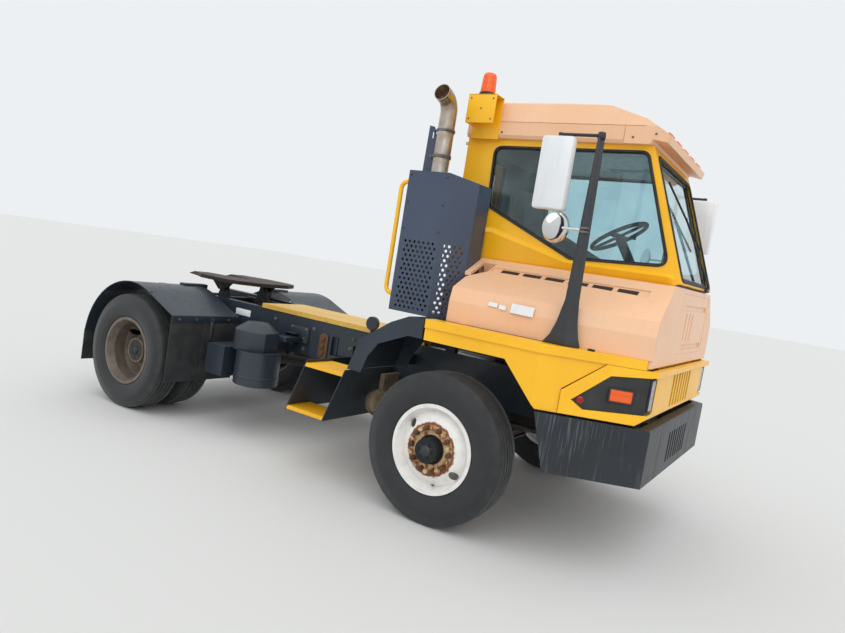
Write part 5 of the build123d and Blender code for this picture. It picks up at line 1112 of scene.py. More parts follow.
@dataclass
class Tyres:
    """Six radial road tyres with ribs, grooves and side wall rings."""

    shop: PackedNodes
    radius: float = 508.0
    bead: float = 290.0
    half: float = 135.0
    groove: float = 13.0
    sides: int = 120
    front_y: float = 1045.0
    rear_y: float = 1105.0
    dual: float = 335.0

    def outline(self) -> list[tuple[float, float]]:
        """Give the tyre's closed outline.

        Returns:
            Corners as (radius, distance from its middle plane).
        """
        r, half = self.radius, self.half
        side = [(self.bead, 98), (304, 104), (312, 117), (322, 119), (330, 125), (352, half - 5),
                (378, half - 1), (404, half), (430, half - 2), (434, half - 5), (452, half - 8),
                (456, half - 12), (478, 116), (492, 110), (r - 8, 105), (r - 3, 99)]
        tread = []
        for middle in (54.0, 18.0):
            tread += [(r - 1, middle + 7), (r - self.groove, middle + 4), (r - self.groove, middle - 4),
                      (r, middle - 7)]
        right = side + tread
        return [(a, -b) for a, b in right] + [(a, b) for a, b in reversed(right)]

    def carcass(self, x: float, y: float) -> Shape:
        """Build one tyre.

        Args:
            x: Axle's place.
            y: Middle of the tyre.

        Returns:
            The shape.
        """
        return lathe(self.outline(), (x, y, self.radius), OUT_LEFT, self.sides, closed=True)

    def build(self) -> None:
        """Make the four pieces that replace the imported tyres."""
        for side, sign, body in (("left", 1.0, Body.FRONT_LEFT), ("right", -1.0, Body.FRONT_RIGHT)):
            tyre = Workpiece("road_tyre_front_" + side, body, self.shop)
            tyre.put(self.carcass(0.0, sign * self.front_y), FRONT_TYRE)
            tyre.finish(replaces=["tyre_front_" + side])
        for side, sign, body in (("left", 1.0, Body.REAR_LEFT), ("right", -1.0, Body.REAR_RIGHT)):
            pair = Workpiece("road_tyres_rear_" + side, body, self.shop)
            for y in (self.rear_y, self.rear_y - self.dual):
                pair.put(self.carcass(REAR_AXLE_X, sign * y), REAR_TYRE)
            pair.finish(replaces=["tyres_rear_" + side])


@dataclass
class WheelFittings:
    """Studs, hub cap bolts and valves on the wheels."""

    shop: PackedNodes
    circle: float = 142.9
    height: float = AXLE_Z
    studs: int = 10
    stud: float = 10.5
    stud_out: float = 12.0
    nut: float = 19.5
    nut_tall: float = 36.0
    cap_bolts: int = 6

    def around(self, count: int, radius: float, x: float, y: float, phase: float = 0.5) -> list[Point]:
        """Places on a circle round an axle.

        Args:
            count: How many.
            radius: The circle's radius.
            x: Axle's place along the vehicle.
            y: Distance from the middle.
            phase: Share of a step by which the first is turned.

        Returns:
            The places, in millimetres.
        """
        places = []
        for i in range(count):
            angle = 2 * math.pi * (i + phase) / count
            places.append((x + radius * math.sin(angle), y, self.height + radius * math.cos(angle)))
        return places

    def build(self) -> None:
        """Make the fittings of the four wheel bodies."""
        # Body, side, axle, studs' distance from the middle, cap's distance and radius
        for body, sign, x, stud_y, cap_y, cap_r in (
                (Body.FRONT_LEFT, 1.0, 0.0, 1183.0, 1215.0, 60.0),
                (Body.FRONT_RIGHT, -1.0, 0.0, 1183.0, 1215.0, 60.0),
                (Body.REAR_LEFT, 1.0, REAR_AXLE_X, 985.0, 1112.0, 80.0),
                (Body.REAR_RIGHT, -1.0, REAR_AXLE_X, 985.0, 1112.0, 80.0)):
            out = OUT_LEFT * sign
            piece = Workpiece("wheel_fittings_" + body.value, body, self.shop)
            for place in self.around(self.studs, self.circle, x, sign * stud_y):
                foot, tip = Vector(place) - out * self.nut_tall, Vector(place) + out * self.stud_out
                piece.put(drum(tuple(foot), tuple(place), self.nut, 17.8, 6, 2.0), RUSTY_FIXINGS)
                piece.put(drum(place, tuple(tip), self.stud, sides=14, edge=1.5), RUSTY_FIXINGS)
            for place in self.around(self.cap_bolts, cap_r - 14, x, sign * (cap_y - 0.5), 0.0):
                piece.put(bolt(place, out, 12.0), HUB_CAP)
            rim = [(0.0, 0.0), (40.0, 0.0), (40.0, 6.0), (34.0, 14.0), (14.0, 19.0), (0.0, 20.0)]
            piece.put(lathe(rim, (x, sign * (cap_y - 1), self.height), out, 32), HUB_CAP)
            valve = (x + 40, sign * (cap_y - 130), self.height - 236)
            piece.put(tube([valve, (x + 42, sign * (cap_y - 95), self.height - 238),
                            (x + 44, sign * (cap_y - 75), self.height - 228)], 5.0), DULL_ALLOY)
            piece.finish()


@dataclass
class CabInterior:
    """Driver's seat with its cushions, dials and levers."""

    shop: PackedNodes
    dip: float = 12.0
    bellows: int = 6
    bellow_tall: float = 48.0
    dash_top: float = 1851.0
    gauges: tuple[float, ...] = (-60.0, 40.0, 140.0, 240.0)

    def pad(self, low: Point, high: Point, crown: Vector, name: str) -> None:
        """Make one crowned cushion with sewn side bolsters.

        Args:
            low: Lowest corner, in millimetres.
            high: Highest corner.
            crown: How far the padded face swells, as a vector in millimetres.
            name: The piece's name.
        """
        shape = block(low, high, 18.0)
        bmesh.ops.subdivide_edges(shape, edges=[e for e in shape.edges if e.calc_length() > 0.05], cuts=11,
                                  use_grid_fill=True)
        first, last = at(*low), at(*high)
        middle, half = (first + last) / 2, (last - first) / 2
        lengthwise = Vector((0.0, 0.0, 1.0)) if crown.x else Vector((1.0, 0.0, 0.0))
        for vert in shape.verts:
            local = Vector([(vert.co[i] - middle[i]) / half[i] for i in range(3)])
            across = local.y
            along = local.dot(lengthwise)
            outward = local.dot(crown.normalized())
            swell = (1 - across ** 4) * (1 - along ** 4)
            seam = math.exp(-((abs(across) - 0.62) / 0.06) ** 2) * (1 - along ** 6)
            pleats = sum(math.exp(-((along - a) / 0.05) ** 2) for a in (-0.35, 0.25))
            rows = 0.35 * pleats * (abs(across) < 0.6)
            if outward > 0.2:
                vert.co += crown / 1000 * swell - crown.normalized() * (seam + rows) * self.dip / 1000
        bmesh.ops.smooth_vert(shape, verts=shape.verts[:], factor=0.5, use_axis_x=True, use_axis_y=True,
                              use_axis_z=True)
        piece = Workpiece(name, Body.CAB, self.shop)
        piece.put(shape, SEAT_CLOTH)
        piece.finish(70.0)

    def build(self) -> None:
        """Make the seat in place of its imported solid, and the dash's fittings."""
        base = Workpiece("seat_base", Body.CAB, self.shop)
        base.put(block((-90, -40, 1321), (270, 220, 1345), 4.0), DASH_PLASTIC)
        for i in range(self.bellows):
            grow, foot = 10 * (i % 2), 1345 + i * self.bellow_tall
            head = foot + self.bellow_tall
            base.put(block((-40 - grow, -grow, foot), (220 + grow, 180 + grow, head), 14.0), DASH_PLASTIC)
        base.put(block((-120, -120, 1633), (300, 300, 1694), 8.0), DASH_PLASTIC)
        base.put(block((-236, -60, 1650), (-196, 240, 2300), 8.0), DASH_PLASTIC)
        for y in (-132.0, 312.0):
            base.put(block((-190, y - 20, 1950), (110, y + 20, 1995), 12.0), DASH_PLASTIC)
        base.finish(replaces=["seat"])
        self.pad((-150, -140, 1698), (325, 320, 1798), Vector((0, 0, 22)), "seat_cushion")
        self.pad((-196, -140, 1800), (-112, 320, 2370), Vector((26, 0, 0)), "seat_back")
        dash = Workpiece("dash_fittings", Body.CAB, self.shop)
        ring = [(42, 0), (42, 9), (37, 11), (35, 6), (0, 6)]
        for y in self.gauges:
            dash.put(lathe(ring, (948, y, self.dash_top), UPWARD, 28), BLACK_PLASTIC)
            dash.put(drum((948, y, self.dash_top), (948, y, self.dash_top + 6.5), 34, sides=28),
                     WHITE_MOULDING)
        dash.put(block((905, -480, self.dash_top), (1085, -200, 1880), 10.0), DASH_PLASTIC)
        dash.put(block((905, -130, self.dash_top), (930, 330, 1893), 8.0), DASH_PLASTIC)
        dash.put(tube([(600, 90, 2100), (640, 250, 2130), (650, 300, 2135)], 7.0), BLACK_PLASTIC)
        dash.put(drum((650, 300, 2135), (653, 325, 2138), 12, sides=16, edge=3), BLACK_PLASTIC)
        dash.finish()


@dataclass
class CabTrim:
    """Seals, wipers, latches, bolts and blank labels on the cab."""

    shop: PackedNodes
    half: float = 560.0
    screen_top: tuple[float, float] = (925.0, 2619.0)
    screen_foot: tuple[float, float] = (1224.0, 1821.0)
    label_lean: float = 22.0 / 94.0
    label_y: float = 1051.2
    vents: int = 6
    vent_first: float = 85.0
    vent_pitch: float = 161.0
    vent_long: float = 128.0
    vent_low: float = 1718.0
    vent_high: float = 1742.0

    def screen(self, y: float, z: float, out: float = 0.0) -> Point:
        """Give a place on the windscreen's outer plane.

        Args:
            y: Distance from the middle.
            z: Height.
            out: How far it stands off.

        Returns:
            The place, in millimetres.
        """
        top, foot = self.screen_top, self.screen_foot
        x = foot[0] - (z - foot[1]) * (foot[0] - top[0]) / (top[1] - foot[1])
        normal = Vector((top[1] - foot[1], 0, foot[0] - top[0])).normalized()
        return (x + normal.x * out, y, z + normal.z * out)

    def seals(self) -> None:
        """Make the rubber round every pane."""
        piece = Workpiece("window_seals", Body.CAB, self.shop)
        corners = [(-203.0, 2600.0), (-189.0, 2178.0), (485.0, 1883.0), (1128.0, 1917.0), (881.0, 2615.0)]
        outline = rounded(corners, 60.0, 8)
        piece.put(band_ring(outline, 9.0, 6.0, lambda p: at(p.x, self.half - 2.0, p.y),
                            Vector((0, 0.009, 0))), EPDM_SEAL, both=True)
        piece.put(band_ring(outline, 0.0, 14.0, lambda p: at(p.x, self.half - 11.0, p.y),
                            Vector((0, 0.004, 0))), BLACK_FRIT, both=True)
        normal = Vector(self.screen(0, 2000, 10)) - Vector(self.screen(0, 2000))
        screen = rounded([(-508.0, 1845.0), (508.0, 1845.0), (508.0, 2595.0), (-508.0, 2595.0)], 40.0, 6)
        piece.put(band_ring(screen, 14.0, 10.0, lambda p: at(*self.screen(p.x, p.y, -3.0)), normal * 0.0011),
                  EPDM_SEAL)
        piece.put(band_ring(screen, 0.0, 26.0, lambda p: at(*self.screen(p.x, p.y, -17.0)), normal * 0.0004),
                  BLACK_FRIT)
        piece.finish()
        door = Workpiece("door_seal", Body.DOOR, self.shop)
        pane = rounded([(-380.0, 1950.0), (-20.0, 1950.0), (-20.0, 2500.0), (-380.0, 2500.0)], 30.0, 6)
        door.put(band_ring(pane, 14.0, 16.0, lambda p: at(-468.0, p.x, p.y), Vector((-0.007, 0, 0))),
                 EPDM_SEAL)
        for y in (-452.0, 52.0):
            door.put(drum((-467, y, 1800), (-474, y, 1800), 16, sides=20, edge=1), DULL_ALLOY)
        door.put(tube([(-467, 20, 1880), (-500, 20, 1880), (-500, 20, 2040), (-467, 20, 2040)], 9.0),
                 DULL_ALLOY)
        door.finish()

    def wiper(self) -> None:
        """Make the windscreen wiper with its twin arm."""
        piece = Workpiece("windscreen_wiper", Body.CAB, self.shop)
        low, high = self.screen(348, 2110, 14), self.screen(-385, 2459, 14)
        piece.put(tube([low, high], 7.0, 8), EPDM_SEAL)
        centre = (Vector(low) + Vector(high)) / 2
        for offset in (0.0, 46.0):
            pivot = self.screen(300 + offset, 1806 + 14, 10)
            piece.put(tube([pivot, self.screen(300 + offset, 1850, 26),
                            tuple(centre + Vector((6, offset * 0.7, -offset * 0.4)))], 5.5, 8), BLACK_PLASTIC)
            piece.put(drum(self.screen(300 + offset, 1820, -4), self.screen(300 + offset, 1820, 18), 15,
                           sides=20, edge=2), BLACK_PLASTIC)
        piece.finish()

    def fixings(self) -> None:
        """Make the bolts, the hood's rubber latch and the blank labels."""
        piece = Workpiece("cab_fixings", Body.CAB, self.shop)
        for x, z in ((778.0, 2695.0), (920.0, 2720.0), (300.0, 2695.0), (-150.0, 2695.0)):
            piece.put(bolt((x, CAB_SIDE, z), OUT_RIGHT, 11.0), DULL_ALLOY, both=True)
        # Rubber stop on the deck rail in front of the mirror post
        piece.put(block((872, -1052, 1345.5), (915, -1030, 1358), 4.0), EPDM_SEAL, both=True)
        for x, long, z0, z1 in ((185.0, 66.0, 1496.0, 1524.0), (262.0, 50.0, 1488.0, 1516.0),
                                (345.0, 155.0, 1478.0, 1538.0)):
            piece.put(self.label(x, long, z0, z1), WHITE_MOULDING)
        piece.finish()

    def label(self, x: float, long: float, low: float, high: float) -> Shape:
        """Make a blank label on the hood's leaning lower side.

        Args:
            x: Its rear end, in millimetres.
            long: Its length.
            low: Height of its lower edge.
            high: Height of its upper edge.

        Returns:
            The shape.
        """
        foot, top = (-self.label_y + (z - 1483) * self.label_lean for z in (low, high))
        return prism([(x, foot, low), (x + long, foot, low - 4), (x + long, top, high - 4), (x, top, high)],
                     (0.0, 0.7, 0.0))

    def slant(self, x: float, z: float, sunk: float = 8.0) -> Point:
        """Give a place on the hood's slanting left side, sunk into it.

        Args:
            x: Place along the vehicle, in millimetres.
            z: Height.
            sunk: Depth below the surface.

        Returns:
            The place.
        """
        # The slant runs from z 1577 to 1800, and the hood narrows from x 640 to its nose at 1215
        share = max(0.0, (x - 640) / 575)
        foot, top = 1028 - share * 149.3, 590 + 40 * share
        return (x, foot - (foot - top) * (z - 1577) / 223 - sunk * 0.44, z - sunk * 0.9)

    def hood_ends(self) -> None:
        """Carry the hood's slant back beside the cab, and lay painted shade in its vent mouths."""
        piece = Workpiece("hood_rear_ends", Body.CAB, self.shop)
        piece.put(prism([(-147, 590, 1800), (-147, 812, 1687), (-147, 812, 1664), (-147, 590, 1777)],
                        (49.0, 0.0, 0.0)), GELCOAT_PEACH, both=True)
        piece.put(block((-428, 566.5, 1345.5), (-95, 586, 1800), 3.0), GELCOAT_PEACH, both=True)
        piece.finish()
        # Thin dark sheets in the vent mouths: painted shade of the hollows behind them
        vents = Workpiece("hood_vent_shade_sheets", Body.CAB, self.shop)
        for i in range(self.vents):
            rear = self.vent_first + i * self.vent_pitch
            front = rear + self.vent_long
            mouth = [self.slant(x, z) for x, z in ((rear, self.vent_low), (front, self.vent_low),
                                                   (front, self.vent_high), (rear, self.vent_high))]
            vents.put(prism(mouth, (0.0, -1.0, -2.0)), VENT_PAINTED_SHADE, both=True)
        vents.finish()

    def paint_louvre_shade(self) -> None:
        """Make the dark sheet of painted shade behind the fascia's louvres."""
        piece = Workpiece("louvre_shade_sheet", Body.CAB, self.shop)
        # A dark sheet behind the louvres: painted shade of the space behind the fascia
        piece.put(block((1196, -315, 1012), (1202, 315, 1243), 1.0), VENT_PAINTED_SHADE)
        piece.finish()

    def build(self) -> None:
        """Make all the trim."""
        self.seals()
        self.wiper()
        self.fixings()
        self.hood_ends()
        self.paint_louvre_shade()


@dataclass
class Mirrors:
    """Mirror heads with their glass, clamps and convex mirrors."""

    shop: PackedNodes
    y: float = 1078.0
    top: float = 2575.0
    rear: float = 388.0
    swung: float = 862.0
    width: float = 205.0
    tall: float = 440.0
    arm_x: float = 738.0
    spot_x: float = 555.0
    spot_z: float = 2036.0

    def build(self) -> None:
        """Make both sides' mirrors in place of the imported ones."""
        heads = Workpiece("mirror_heads", Body.CAB, self.shop)
        low_z, y = self.top - self.tall, self.y
        # Rear end of the right head, folded back, and of the left head, swung forward
        for rear, sign in ((self.rear, -1.0), (self.swung, 1.0)):
            parts = (
                (block((rear, y - 36, low_z), (rear + self.width, y + 40, self.top), 20.0), WHITE_MOULDING),
                (block((rear + 8, y - 40, low_z + 8), (rear + self.width - 8, y - 33, self.top - 8), 2.0),
                 EPDM_SEAL),
                (block((rear + 16, y - 41.5, low_z + 16), (rear + self.width - 16, y - 38, self.top - 16),
                       0.8), MIRROR_SILVER),
                (drum((rear + 102, y, self.top - 2), (rear + 102, y, self.top + 22), 14, sides=20, edge=2),
                 BLACK_PLASTIC),
                (tube([(self.arm_x, y, self.top + 12), (rear + 102, y, self.top + 12)], 10.0),
                 BLACK_PLASTIC))
            flip = Matrix.Scale(-1.0, 4, (0, 1, 0))
            if sign > 0:
                flip = Matrix.Translation((0, 2 * y / 1000, 0)) @ flip
            for shape, finish in parts:
                shape.transform(flip)
                heads.put(shape, finish)
        heads.finish(replaces=["mirrors"])
        posts = Workpiece("mirror_stands", Body.CAB, self.shop)
        outer, inner = y + 18, y - 32
        sections = []
        # Columns: height, rear edge, fold, front edge
        for z, rear, fold, front in ((1345.3, 600.0, 752.0, 830.0), (1400.0, 640.0, 748.0, 808.0),
                                     (1480.0, 670.0, 742.0, 790.0), (1620.0, 700.0, 741.0, 775.0),
                                     (self.top + 30, 726.0, 740.0, 754.0)):
            sections.append([(rear, outer, z), (fold, outer, z), (front, inner, z), (rear, inner, z)])
        posts.put(loft(sections, 5.0), POST_PAINT, both=True)
        posts.put(drum((739, y - 6, self.top - 6), (739, y - 6, self.top + 34), 25, 22, 24, 6.0),
                  BLACK_PLASTIC, both=True)
        posts.finish(replaces=["mirror_posts"])
        spots = Workpiece("convex_mirrors", Body.CAB, self.shop)
        outline = [(0, 0), (88, 0), (95, 3), (95, 8), (88, 22), (60, 38), (30, 42), (0, 43)]
        axis = Vector((0.83, 0.55, -0.1))
        spots.put(lathe(outline, (self.spot_x, y, self.spot_z), axis, 40), CHROME, both=True)
        spots.put(tube([(x, y, self.spot_z) for x in (575, 640, 712)], 8.0), CHROME, both=True)
        for z in (self.spot_z - 11, self.spot_z + 11):
            spots.put(block((712, y - 34, z - 6), (760, y + 22, z + 6), 2.5), DULL_ALLOY, both=True)
        spots.finish(replaces=["spot_mirrors"])


@dataclass
class Lamps:
    """Beacon, lamp bezels, reflectors and marker lenses."""

    shop: PackedNodes
    beacon: Point = (-281.0, -665.0, 2928.0)
    pod_slope: float = math.tan(math.radians(27.5))
    pod_from: float = 640.0
    rail_half: float = 1200.0

    def beacon_on_bracket(self) -> None:
        """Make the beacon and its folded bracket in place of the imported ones."""
        bracket = Workpiece("beacon_bracket", Body.CAB, self.shop)
        rear, front, top, side = -392.0, -170.0, 2928.0, CAB_SIDE
        bracket.put(block((rear, side - 120, top - 6), (front, side, top), 1.5), ENAMEL_YELLOW)
        bracket.put(block((rear, side - 120, top - 200), (front, side - 114, top - 1), 1.5), ENAMEL_YELLOW)
        bracket.put(block((rear, side - 119, top - 200), (rear + 6, side - 1, top - 1), 1.5), ENAMEL_YELLOW)
        bracket.put(block((rear, side - 6, top - 285), (front, side, top - 1), 1.5), ENAMEL_YELLOW)
        for x, z in ((rear + 24, top - 30), (front - 24, top - 30), (rear + 24, top - 172),
                     (front - 24, top - 172), (rear + 111, top - 100)):
            bracket.put(bolt((x, side - 120.2, z), OUT_RIGHT, 9.0), DULL_ALLOY)
        bracket.finish(replaces=["beacon_box"])
        lamp = Workpiece("beacon_lamp", Body.CAB, self.shop)
        foot = [(0, 0), (58, 0), (60, 4), (60, 14), (54, 20), (0, 20)]
        lamp.put(lathe(foot, self.beacon, UPWARD, 40), BLACK_PLASTIC)
        dome = [(52, 20)]
        for i in range(9):
            dome += [(55 - i * 0.7, 26 + i * 12), (53.4 - i * 0.7, 32 + i * 12)]
        dome += [(46, 142), (38, 154), (22, 160), (0, 162)]
        lamp.put(lathe(dome, self.beacon, UPWARD, 40), AMBER_LENS)
        lamp.finish(replaces=["beacon"])

    def bezels(self) -> None:
        """Make the raised frames round the side signals and the headlamps' reflectors."""
        piece = Workpiece("lamp_bezels", Body.CAB, self.shop)
        for x0, x1, z0, z1 in ((1028.0, 1156.0, 1146.5, 1156.0), (1028.0, 1156.0, 1069.0, 1078.5),
                               (1026.0, 1035.0, 1069.0, 1156.0), (1149.0, 1158.0, 1069.0, 1156.0)):
            shape = block((x0, 0, z0), (x1, 16, z1), 2.0)
            for vert in shape.verts:
                x = vert.co.x * 1000 - ORIGIN_SHIFT
                vert.co.y += (self.rail_half - 16 - (x - self.pod_from) * self.pod_slope) / 1000
            piece.put(shape, BLACK_PLASTIC, both=True)
        marker_y = self.rail_half - 14 - (885 - self.pod_from) * self.pod_slope
        facing = Vector((self.pod_slope, 1.0, 0.0)).normalized()
        rim = [(0, 0), (22, 0), (22, 3), (18, 6), (0, 7)]
        piece.put(lathe(rim, (885, marker_y, 1052), facing, 28), RED_LENS, both=True)
        y0, y1, z0, z1 = 774.3, 867.0, 1048.0, 1226.0
        for low, high in (((1223, y0 - 8, z1), (1235, y1 + 8, z1 + 9)),
                          ((1223, y0 - 8, z0 - 9), (1235, y1 + 8, z0)),
                          ((1223, y0 - 9, z0 - 8), (1235, y0, z1 + 8)),
                          ((1223, y1, z0 - 8), (1235, y1 + 9, z1 + 8))):
            piece.put(block(low, high, 2.0), BLACK_PLASTIC, both=True)
        piece.finish()

    def build(self) -> None:
        """Make all the lamps' pieces."""
        self.beacon_on_bracket()
        self.bezels()


@dataclass
class ExhaustDressing:
    """The stack with its outward mouth, its clamps and the guard's fixings."""

    shop: PackedNodes
    x: float = -490.0
    y: float = -800.0
    radius: float = 60.0
    wall: float = 4.0
    bend: float = 105.0
    bend_z: float = 2765.0
    mouth: float = 45.0
    mouth_deep: float = 90.0
    guard_y: float = -950.2

    def build(self) -> None:
        """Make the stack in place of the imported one, and the guard's bolts."""
        stack = Workpiece("exhaust_pipe", Body.CHASSIS, self.shop)
        path: list[Point] = [(self.x, self.y, z) for z in (1352.0, 1900.0, 2400.0, 2700.0, self.bend_z)]
        for i in range(1, 9):
            angle = math.radians(10.0 * i)
            path.append((self.x, self.y - self.bend * (1 - math.cos(angle)),
                         self.bend_z + self.bend * math.sin(angle)))
        end = Vector(path[-1])
        run = (end - Vector(path[-2])).normalized()
        path.append(tuple(end + run * self.mouth))
        stack.put(self.open_pipe(path), STAINLESS)
        outline = [(60, 0), (98, 14), (112, 34), (115, 60), (115, 700), (112, 726), (98, 746), (60, 760)]
        stack.put(lathe(outline, (self.x, self.y, 1420), UPWARD, 40), MUFFLER_STEEL)
        for z, wide in ((2447.0, 24.0), (2632.0, 18.0)):
            clamp = [(60.5, 0), (66, 0), (67, 2), (67, wide - 2), (66, wide), (60.5, wide)]
            stack.put(lathe(clamp, (self.x, self.y, z), UPWARD, 40, closed=True), DULL_ALLOY)
            stack.put(block((self.x - 100, self.y - 10, z), (self.x - 58, self.y - 4, z + wide), 1.5),
                      DULL_ALLOY)
            stack.put(bolt((self.x - 86, self.y - 10, z + wide / 2), OUT_RIGHT, 15.0), DULL_ALLOY)
        stack.finish(replaces=["exhaust_stack"])
        guard = Workpiece("guard_fixings", Body.CHASSIS, self.shop)
        for z in (1925.0, 2110.0, 2300.0):
            for x in (-622.0, -328.0):
                guard.put(bolt((x, self.guard_y, z), OUT_RIGHT, 15.0), LIT_GUARD_COAT)
        for z in (1450.0, 2250.0):
            guard.put(drum((-640.2, -920, z), (-645, -920, z), 32, sides=28, edge=1), ENAMEL_YELLOW)
            guard.put(bolt((-645, -941, z), -FORWARD, 12.0), DULL_ALLOY)
        guard.finish()

    def open_pipe(self, path: Sequence[Point]) -> Shape:
        """Make a pipe with an open mouth and a wall that shows.

        Args:
            path: Its middle line, in millimetres.

        Returns:
            The shape.
        """
        shape = tube(path, self.radius, 40)
        end = at(*path[-1])
        mouth = min((f for f in shape.faces if len(f.verts) > 4),
                    key=lambda f: (f.calc_center_median() - end).length)
        bmesh.ops.inset_region(shape, faces=[mouth], thickness=self.wall / 1000, depth=0.0)
        inward = (at(*path[-2]) - end).normalized()
        deep = bmesh.ops.extrude_face_region(shape, geom=[mouth])["geom"]
        bmesh.ops.delete(shape, geom=[mouth], context="FACES_ONLY")
        bmesh.ops.translate(shape, vec=inward * self.mouth_deep / 1000, verts=corners_of(deep))
        return shape


@dataclass
class RearFenders:
    """Arched fenders with a sloping front, a hung flap and its strap."""

    shop: PackedNodes
    arch: float = 622.0
    wall: float = 6.0
    first_angle: float = 174.0
    last_angle: float = 67.0
    steps: int = 24
    fold_in: float = 22.0
    inner: float = 505.0
    outer: float = 1235.0

    def profile(self, reach: float) -> list[tuple[float, float]]:
        """Give one face of the sheet, from its rear end over the wheel to the flap.

        Args:
            reach: Distance of the face from the axle.

        Returns:
            Corners as (x, z).
        """
        points = []
        for i in range(self.steps + 1):
            angle = math.radians(self.first_angle - (self.first_angle - self.last_angle) * i / self.steps)
            points.append((REAR_AXLE_X + reach * math.cos(angle), AXLE_Z + reach * math.sin(angle)))
        front = REAR_AXLE_X + reach - self.fold_in
        lean = 1 / math.tan(math.radians(self.last_angle))
        points.append((front, points[-1][1] - (front - points[-1][0]) * lean))
        return points

    def build(self) -> None:
        """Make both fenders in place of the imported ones."""
        for side, sign in (("left", 1.0), ("right", -1.0)):
            piece = Workpiece("fender_sheets_" + side, Body.CHASSIS, self.shop)
            outside, inside = self.profile(self.arch), self.profile(self.arch - self.wall)
            piece.put(prism([(x, sign * self.inner, z) for x, z in outside + inside[::-1]],
                            (0.0, sign * (self.outer - self.inner), 0.0)), POWDER_SLATE)
            fold_x, fold_z = outside[-1]
            rear_x, top = REAR_AXLE_X - self.arch, AXLE_Z + self.arch + 18
            # Flap, its clamping bar, inner flap, strap and its slot, rear flap, bracket's arm and foot
            for low, high, edge, finish in (
                    ((fold_x - 12, self.inner, 350), (fold_x - 4, self.outer, fold_z - 8), 1.5, FLAP_RUBBER),
                    ((fold_x - 4, self.inner, fold_z - 62), (fold_x, self.outer, fold_z - 3), 1.0,
                     POWDER_SLATE),
                    ((fold_x - 3.5, self.inner, 365), (fold_x + 2, 900, fold_z - 64), 1.5, FLAP_RUBBER),
                    ((fold_x + 2.2, 785, 690), (fold_x + 7, 835, fold_z - 20), 1.5, POWDER_SLATE),
                    ((fold_x + 6, 801, 715), (fold_x + 8.5, 819, fold_z - 50), 1.0, DULL_ALLOY),
                    ((rear_x, self.inner, 300), (rear_x + 8, self.outer, 588), 1.5, FLAP_RUBBER),
                    ((REAR_AXLE_X - 40, RAIL_FACE, top - 20), (REAR_AXLE_X + 40, 700, top), 3.0,
                     POWDER_SLATE),
                    ((REAR_AXLE_X - 40, RAIL_FACE, 960), (REAR_AXLE_X + 40, 448, top), 3.0, POWDER_SLATE)):
                near, far = sorted((sign * low[1], sign * high[1]))
                piece.put(block((low[0], near, low[2]), (high[0], far, high[2]), edge), finish)
            for y in (620.0, 800.0, 980.0, 1160.0):
                piece.put(bolt((fold_x + 0.2, sign * y, fold_z - 32), FORWARD, 18.0), DULL_ALLOY)
            for x in (-3700.0, -3450.0, -2950.0):
                reach = math.sqrt(self.arch ** 2 - (x - REAR_AXLE_X) ** 2)
                way = Vector((x - REAR_AXLE_X, 0.0, reach)).normalized()
                piece.put(bolt((x, sign * 1205, AXLE_Z + reach), way, 14.0), DULL_ALLOY)
            piece.finish(replaces=["rear_fender_" + side])


@dataclass
class AirCleaner:
    """Air cleaner drum under its eight sided cap, hung from the right rail."""

    shop: PackedNodes
    x: float = -2045.0
    y: float = -740.0
    cap_x: float = -2120.0
    cap_y: float = -720.0
    foot_z: float = 440.0
    corners: int = 8

    def octagon(self, half: float, z: float) -> list[Point]:
        """Give the corners of the cap at a height.

        Args:
            half: Half its width over the flats.
            z: The height.

        Returns:
            The corners.
        """
        step = math.pi / self.corners
        reach = half / math.cos(step)
        turns = [step + i * 2 * step for i in range(self.corners)]
        return [(self.cap_x + reach * math.cos(a), self.cap_y + reach * math.sin(a), z) for a in turns]

    def build(self) -> None:
        """Make the drum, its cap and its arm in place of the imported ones."""
        piece = Workpiece("air_cleaner_drum", Body.CHASSIS, self.shop)
        outline = [(0, -12), (130, -12), (134, -6), (140, 0), (184, 0), (190, 6), (190, 60), (194, 63),
                   (194, 81), (190, 84), (190, 292), (0, 292)]
        piece.put(lathe(outline, (self.x, self.y, self.foot_z), UPWARD, 44), POWDER_SLATE)
        cap = [self.octagon(182, 722), self.octagon(185, 732), self.octagon(185, 895), self.octagon(84, 965)]
        piece.put(loft(cap, 5.0), POWDER_SLATE)
        for low, high in (((self.x + 60, self.y + 100, 840), (self.x + 190, -RAIL_FACE, 880)),
                          ((self.x + 40, -442, 830), (self.x + 260, -RAIL_FACE, 975))):
            piece.put(block(low, high, 3.0), POWDER_SLATE)
        for along in (70.0, 230.0):
            for z in (850.0, 955.0):
                piece.put(bolt((self.x + along, -442.2, z), OUT_RIGHT, 20.0), DULL_ALLOY)
        piece.finish(replaces=["air_cleaner"])


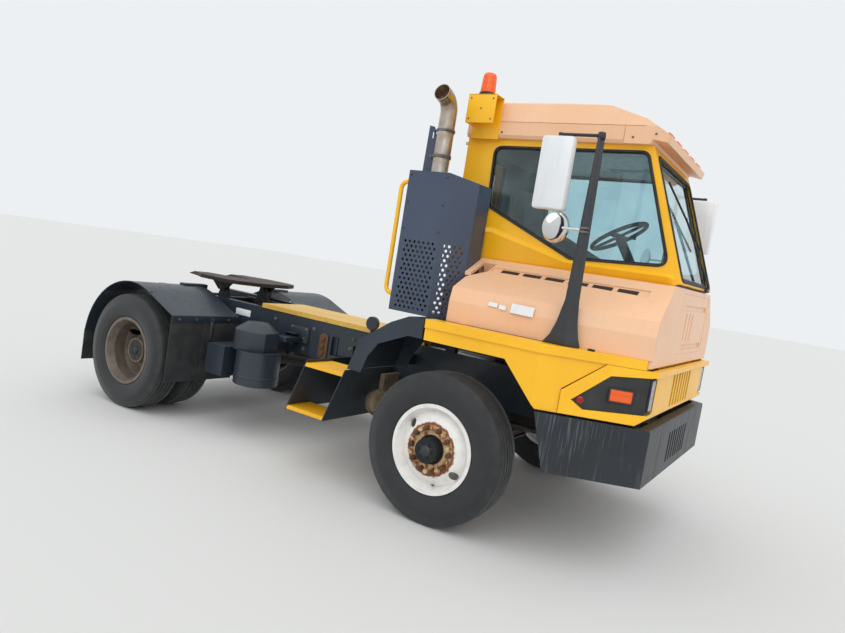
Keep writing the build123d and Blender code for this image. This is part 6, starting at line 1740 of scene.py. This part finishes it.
@dataclass
class ChassisFittings:
    """Bolts, brackets and a blank plate on the frame, and the bumper's bolts."""

    shop: PackedNodes

    def build(self) -> None:
        """Make the frame's fittings."""
        piece = Workpiece("frame_fixings", Body.CHASSIS, self.shop)
        # Places of rail bolts as (x, z)
        for x, z in ((-2206.0, 983.0), (-1982.0, 957.0), (-1978.0, 805.0), (-1834.0, 875.0), (-1835.0, 782.0),
                     (-1738.0, 976.0), (-1294.0, 972.0), (-1318.0, 883.0), (-1321.0, 793.0), (-2888.0, 944.0),
                     (-3400.0, 944.0), (-3650.0, 944.0)):
            piece.put(bolt((x, -RAIL_FACE + 0.1, z), OUT_RIGHT, 26.0), DULL_ALLOY, both=True)
        # Rusty shackle plate, and the black angle bracket behind it
        plate = rounded([(-1655.0, 742.0), (-1560.0, 742.0), (-1560.0, 962.0), (-1655.0, 962.0)], 44.0, 8)
        piece.put(prism([(p.x, -RAIL_FACE, p.y) for p in plate], (0.0, -12.0, 0.0), 2.0), RUSTY_FIXINGS)
        for z in (790.0, 850.0, 915.0):
            piece.put(bolt((-1607, -442.4, z), OUT_RIGHT, 34.0), RUSTY_FIXINGS)
        piece.put(block((-2010, -500, 900), (-1890, -RAIL_FACE, 908), 2.0), POWDER_SLATE)
        piece.put(block((-2010, -500, 840), (-2002, -RAIL_FACE, 906), 2.0), POWDER_SLATE)
        piece.put(block((-2724, -432.5, 940), (-2530, -RAIL_FACE, 1000), 0.8), WHITE_MOULDING)
        cap = [(13, 0), (13, 3), (10, 8), (4, 10.5), (0, 11)]
        for y in (-440.0, -360.0, 360.0, 440.0):
            for z in (690.0, 850.0):
                piece.put(lathe(cap, (1262.0, y, z), FORWARD, 20), CHROME)
        piece.finish()


def main() -> None:
    """Load the frame, dress it, add the pieces and set the studio."""
    logging.basicConfig(level=logging.INFO, format="%(message)s")
    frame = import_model()
    bpy.context.scene.view_settings.view_transform = "Standard"
    studio = Studio()
    studio.set_camera()
    packed = PackedNodes(frame["nodes"])
    packed.dress()
    for assembly in (Tyres, WheelFittings, CabInterior, CabTrim, Mirrors, Lamps, ExhaustDressing, RearFenders,
                     AirCleaner, ChassisFittings):
        assembly(packed).build()
    studio.lay_floor()
    studio.light()


if __name__ == "__main__":
    main()
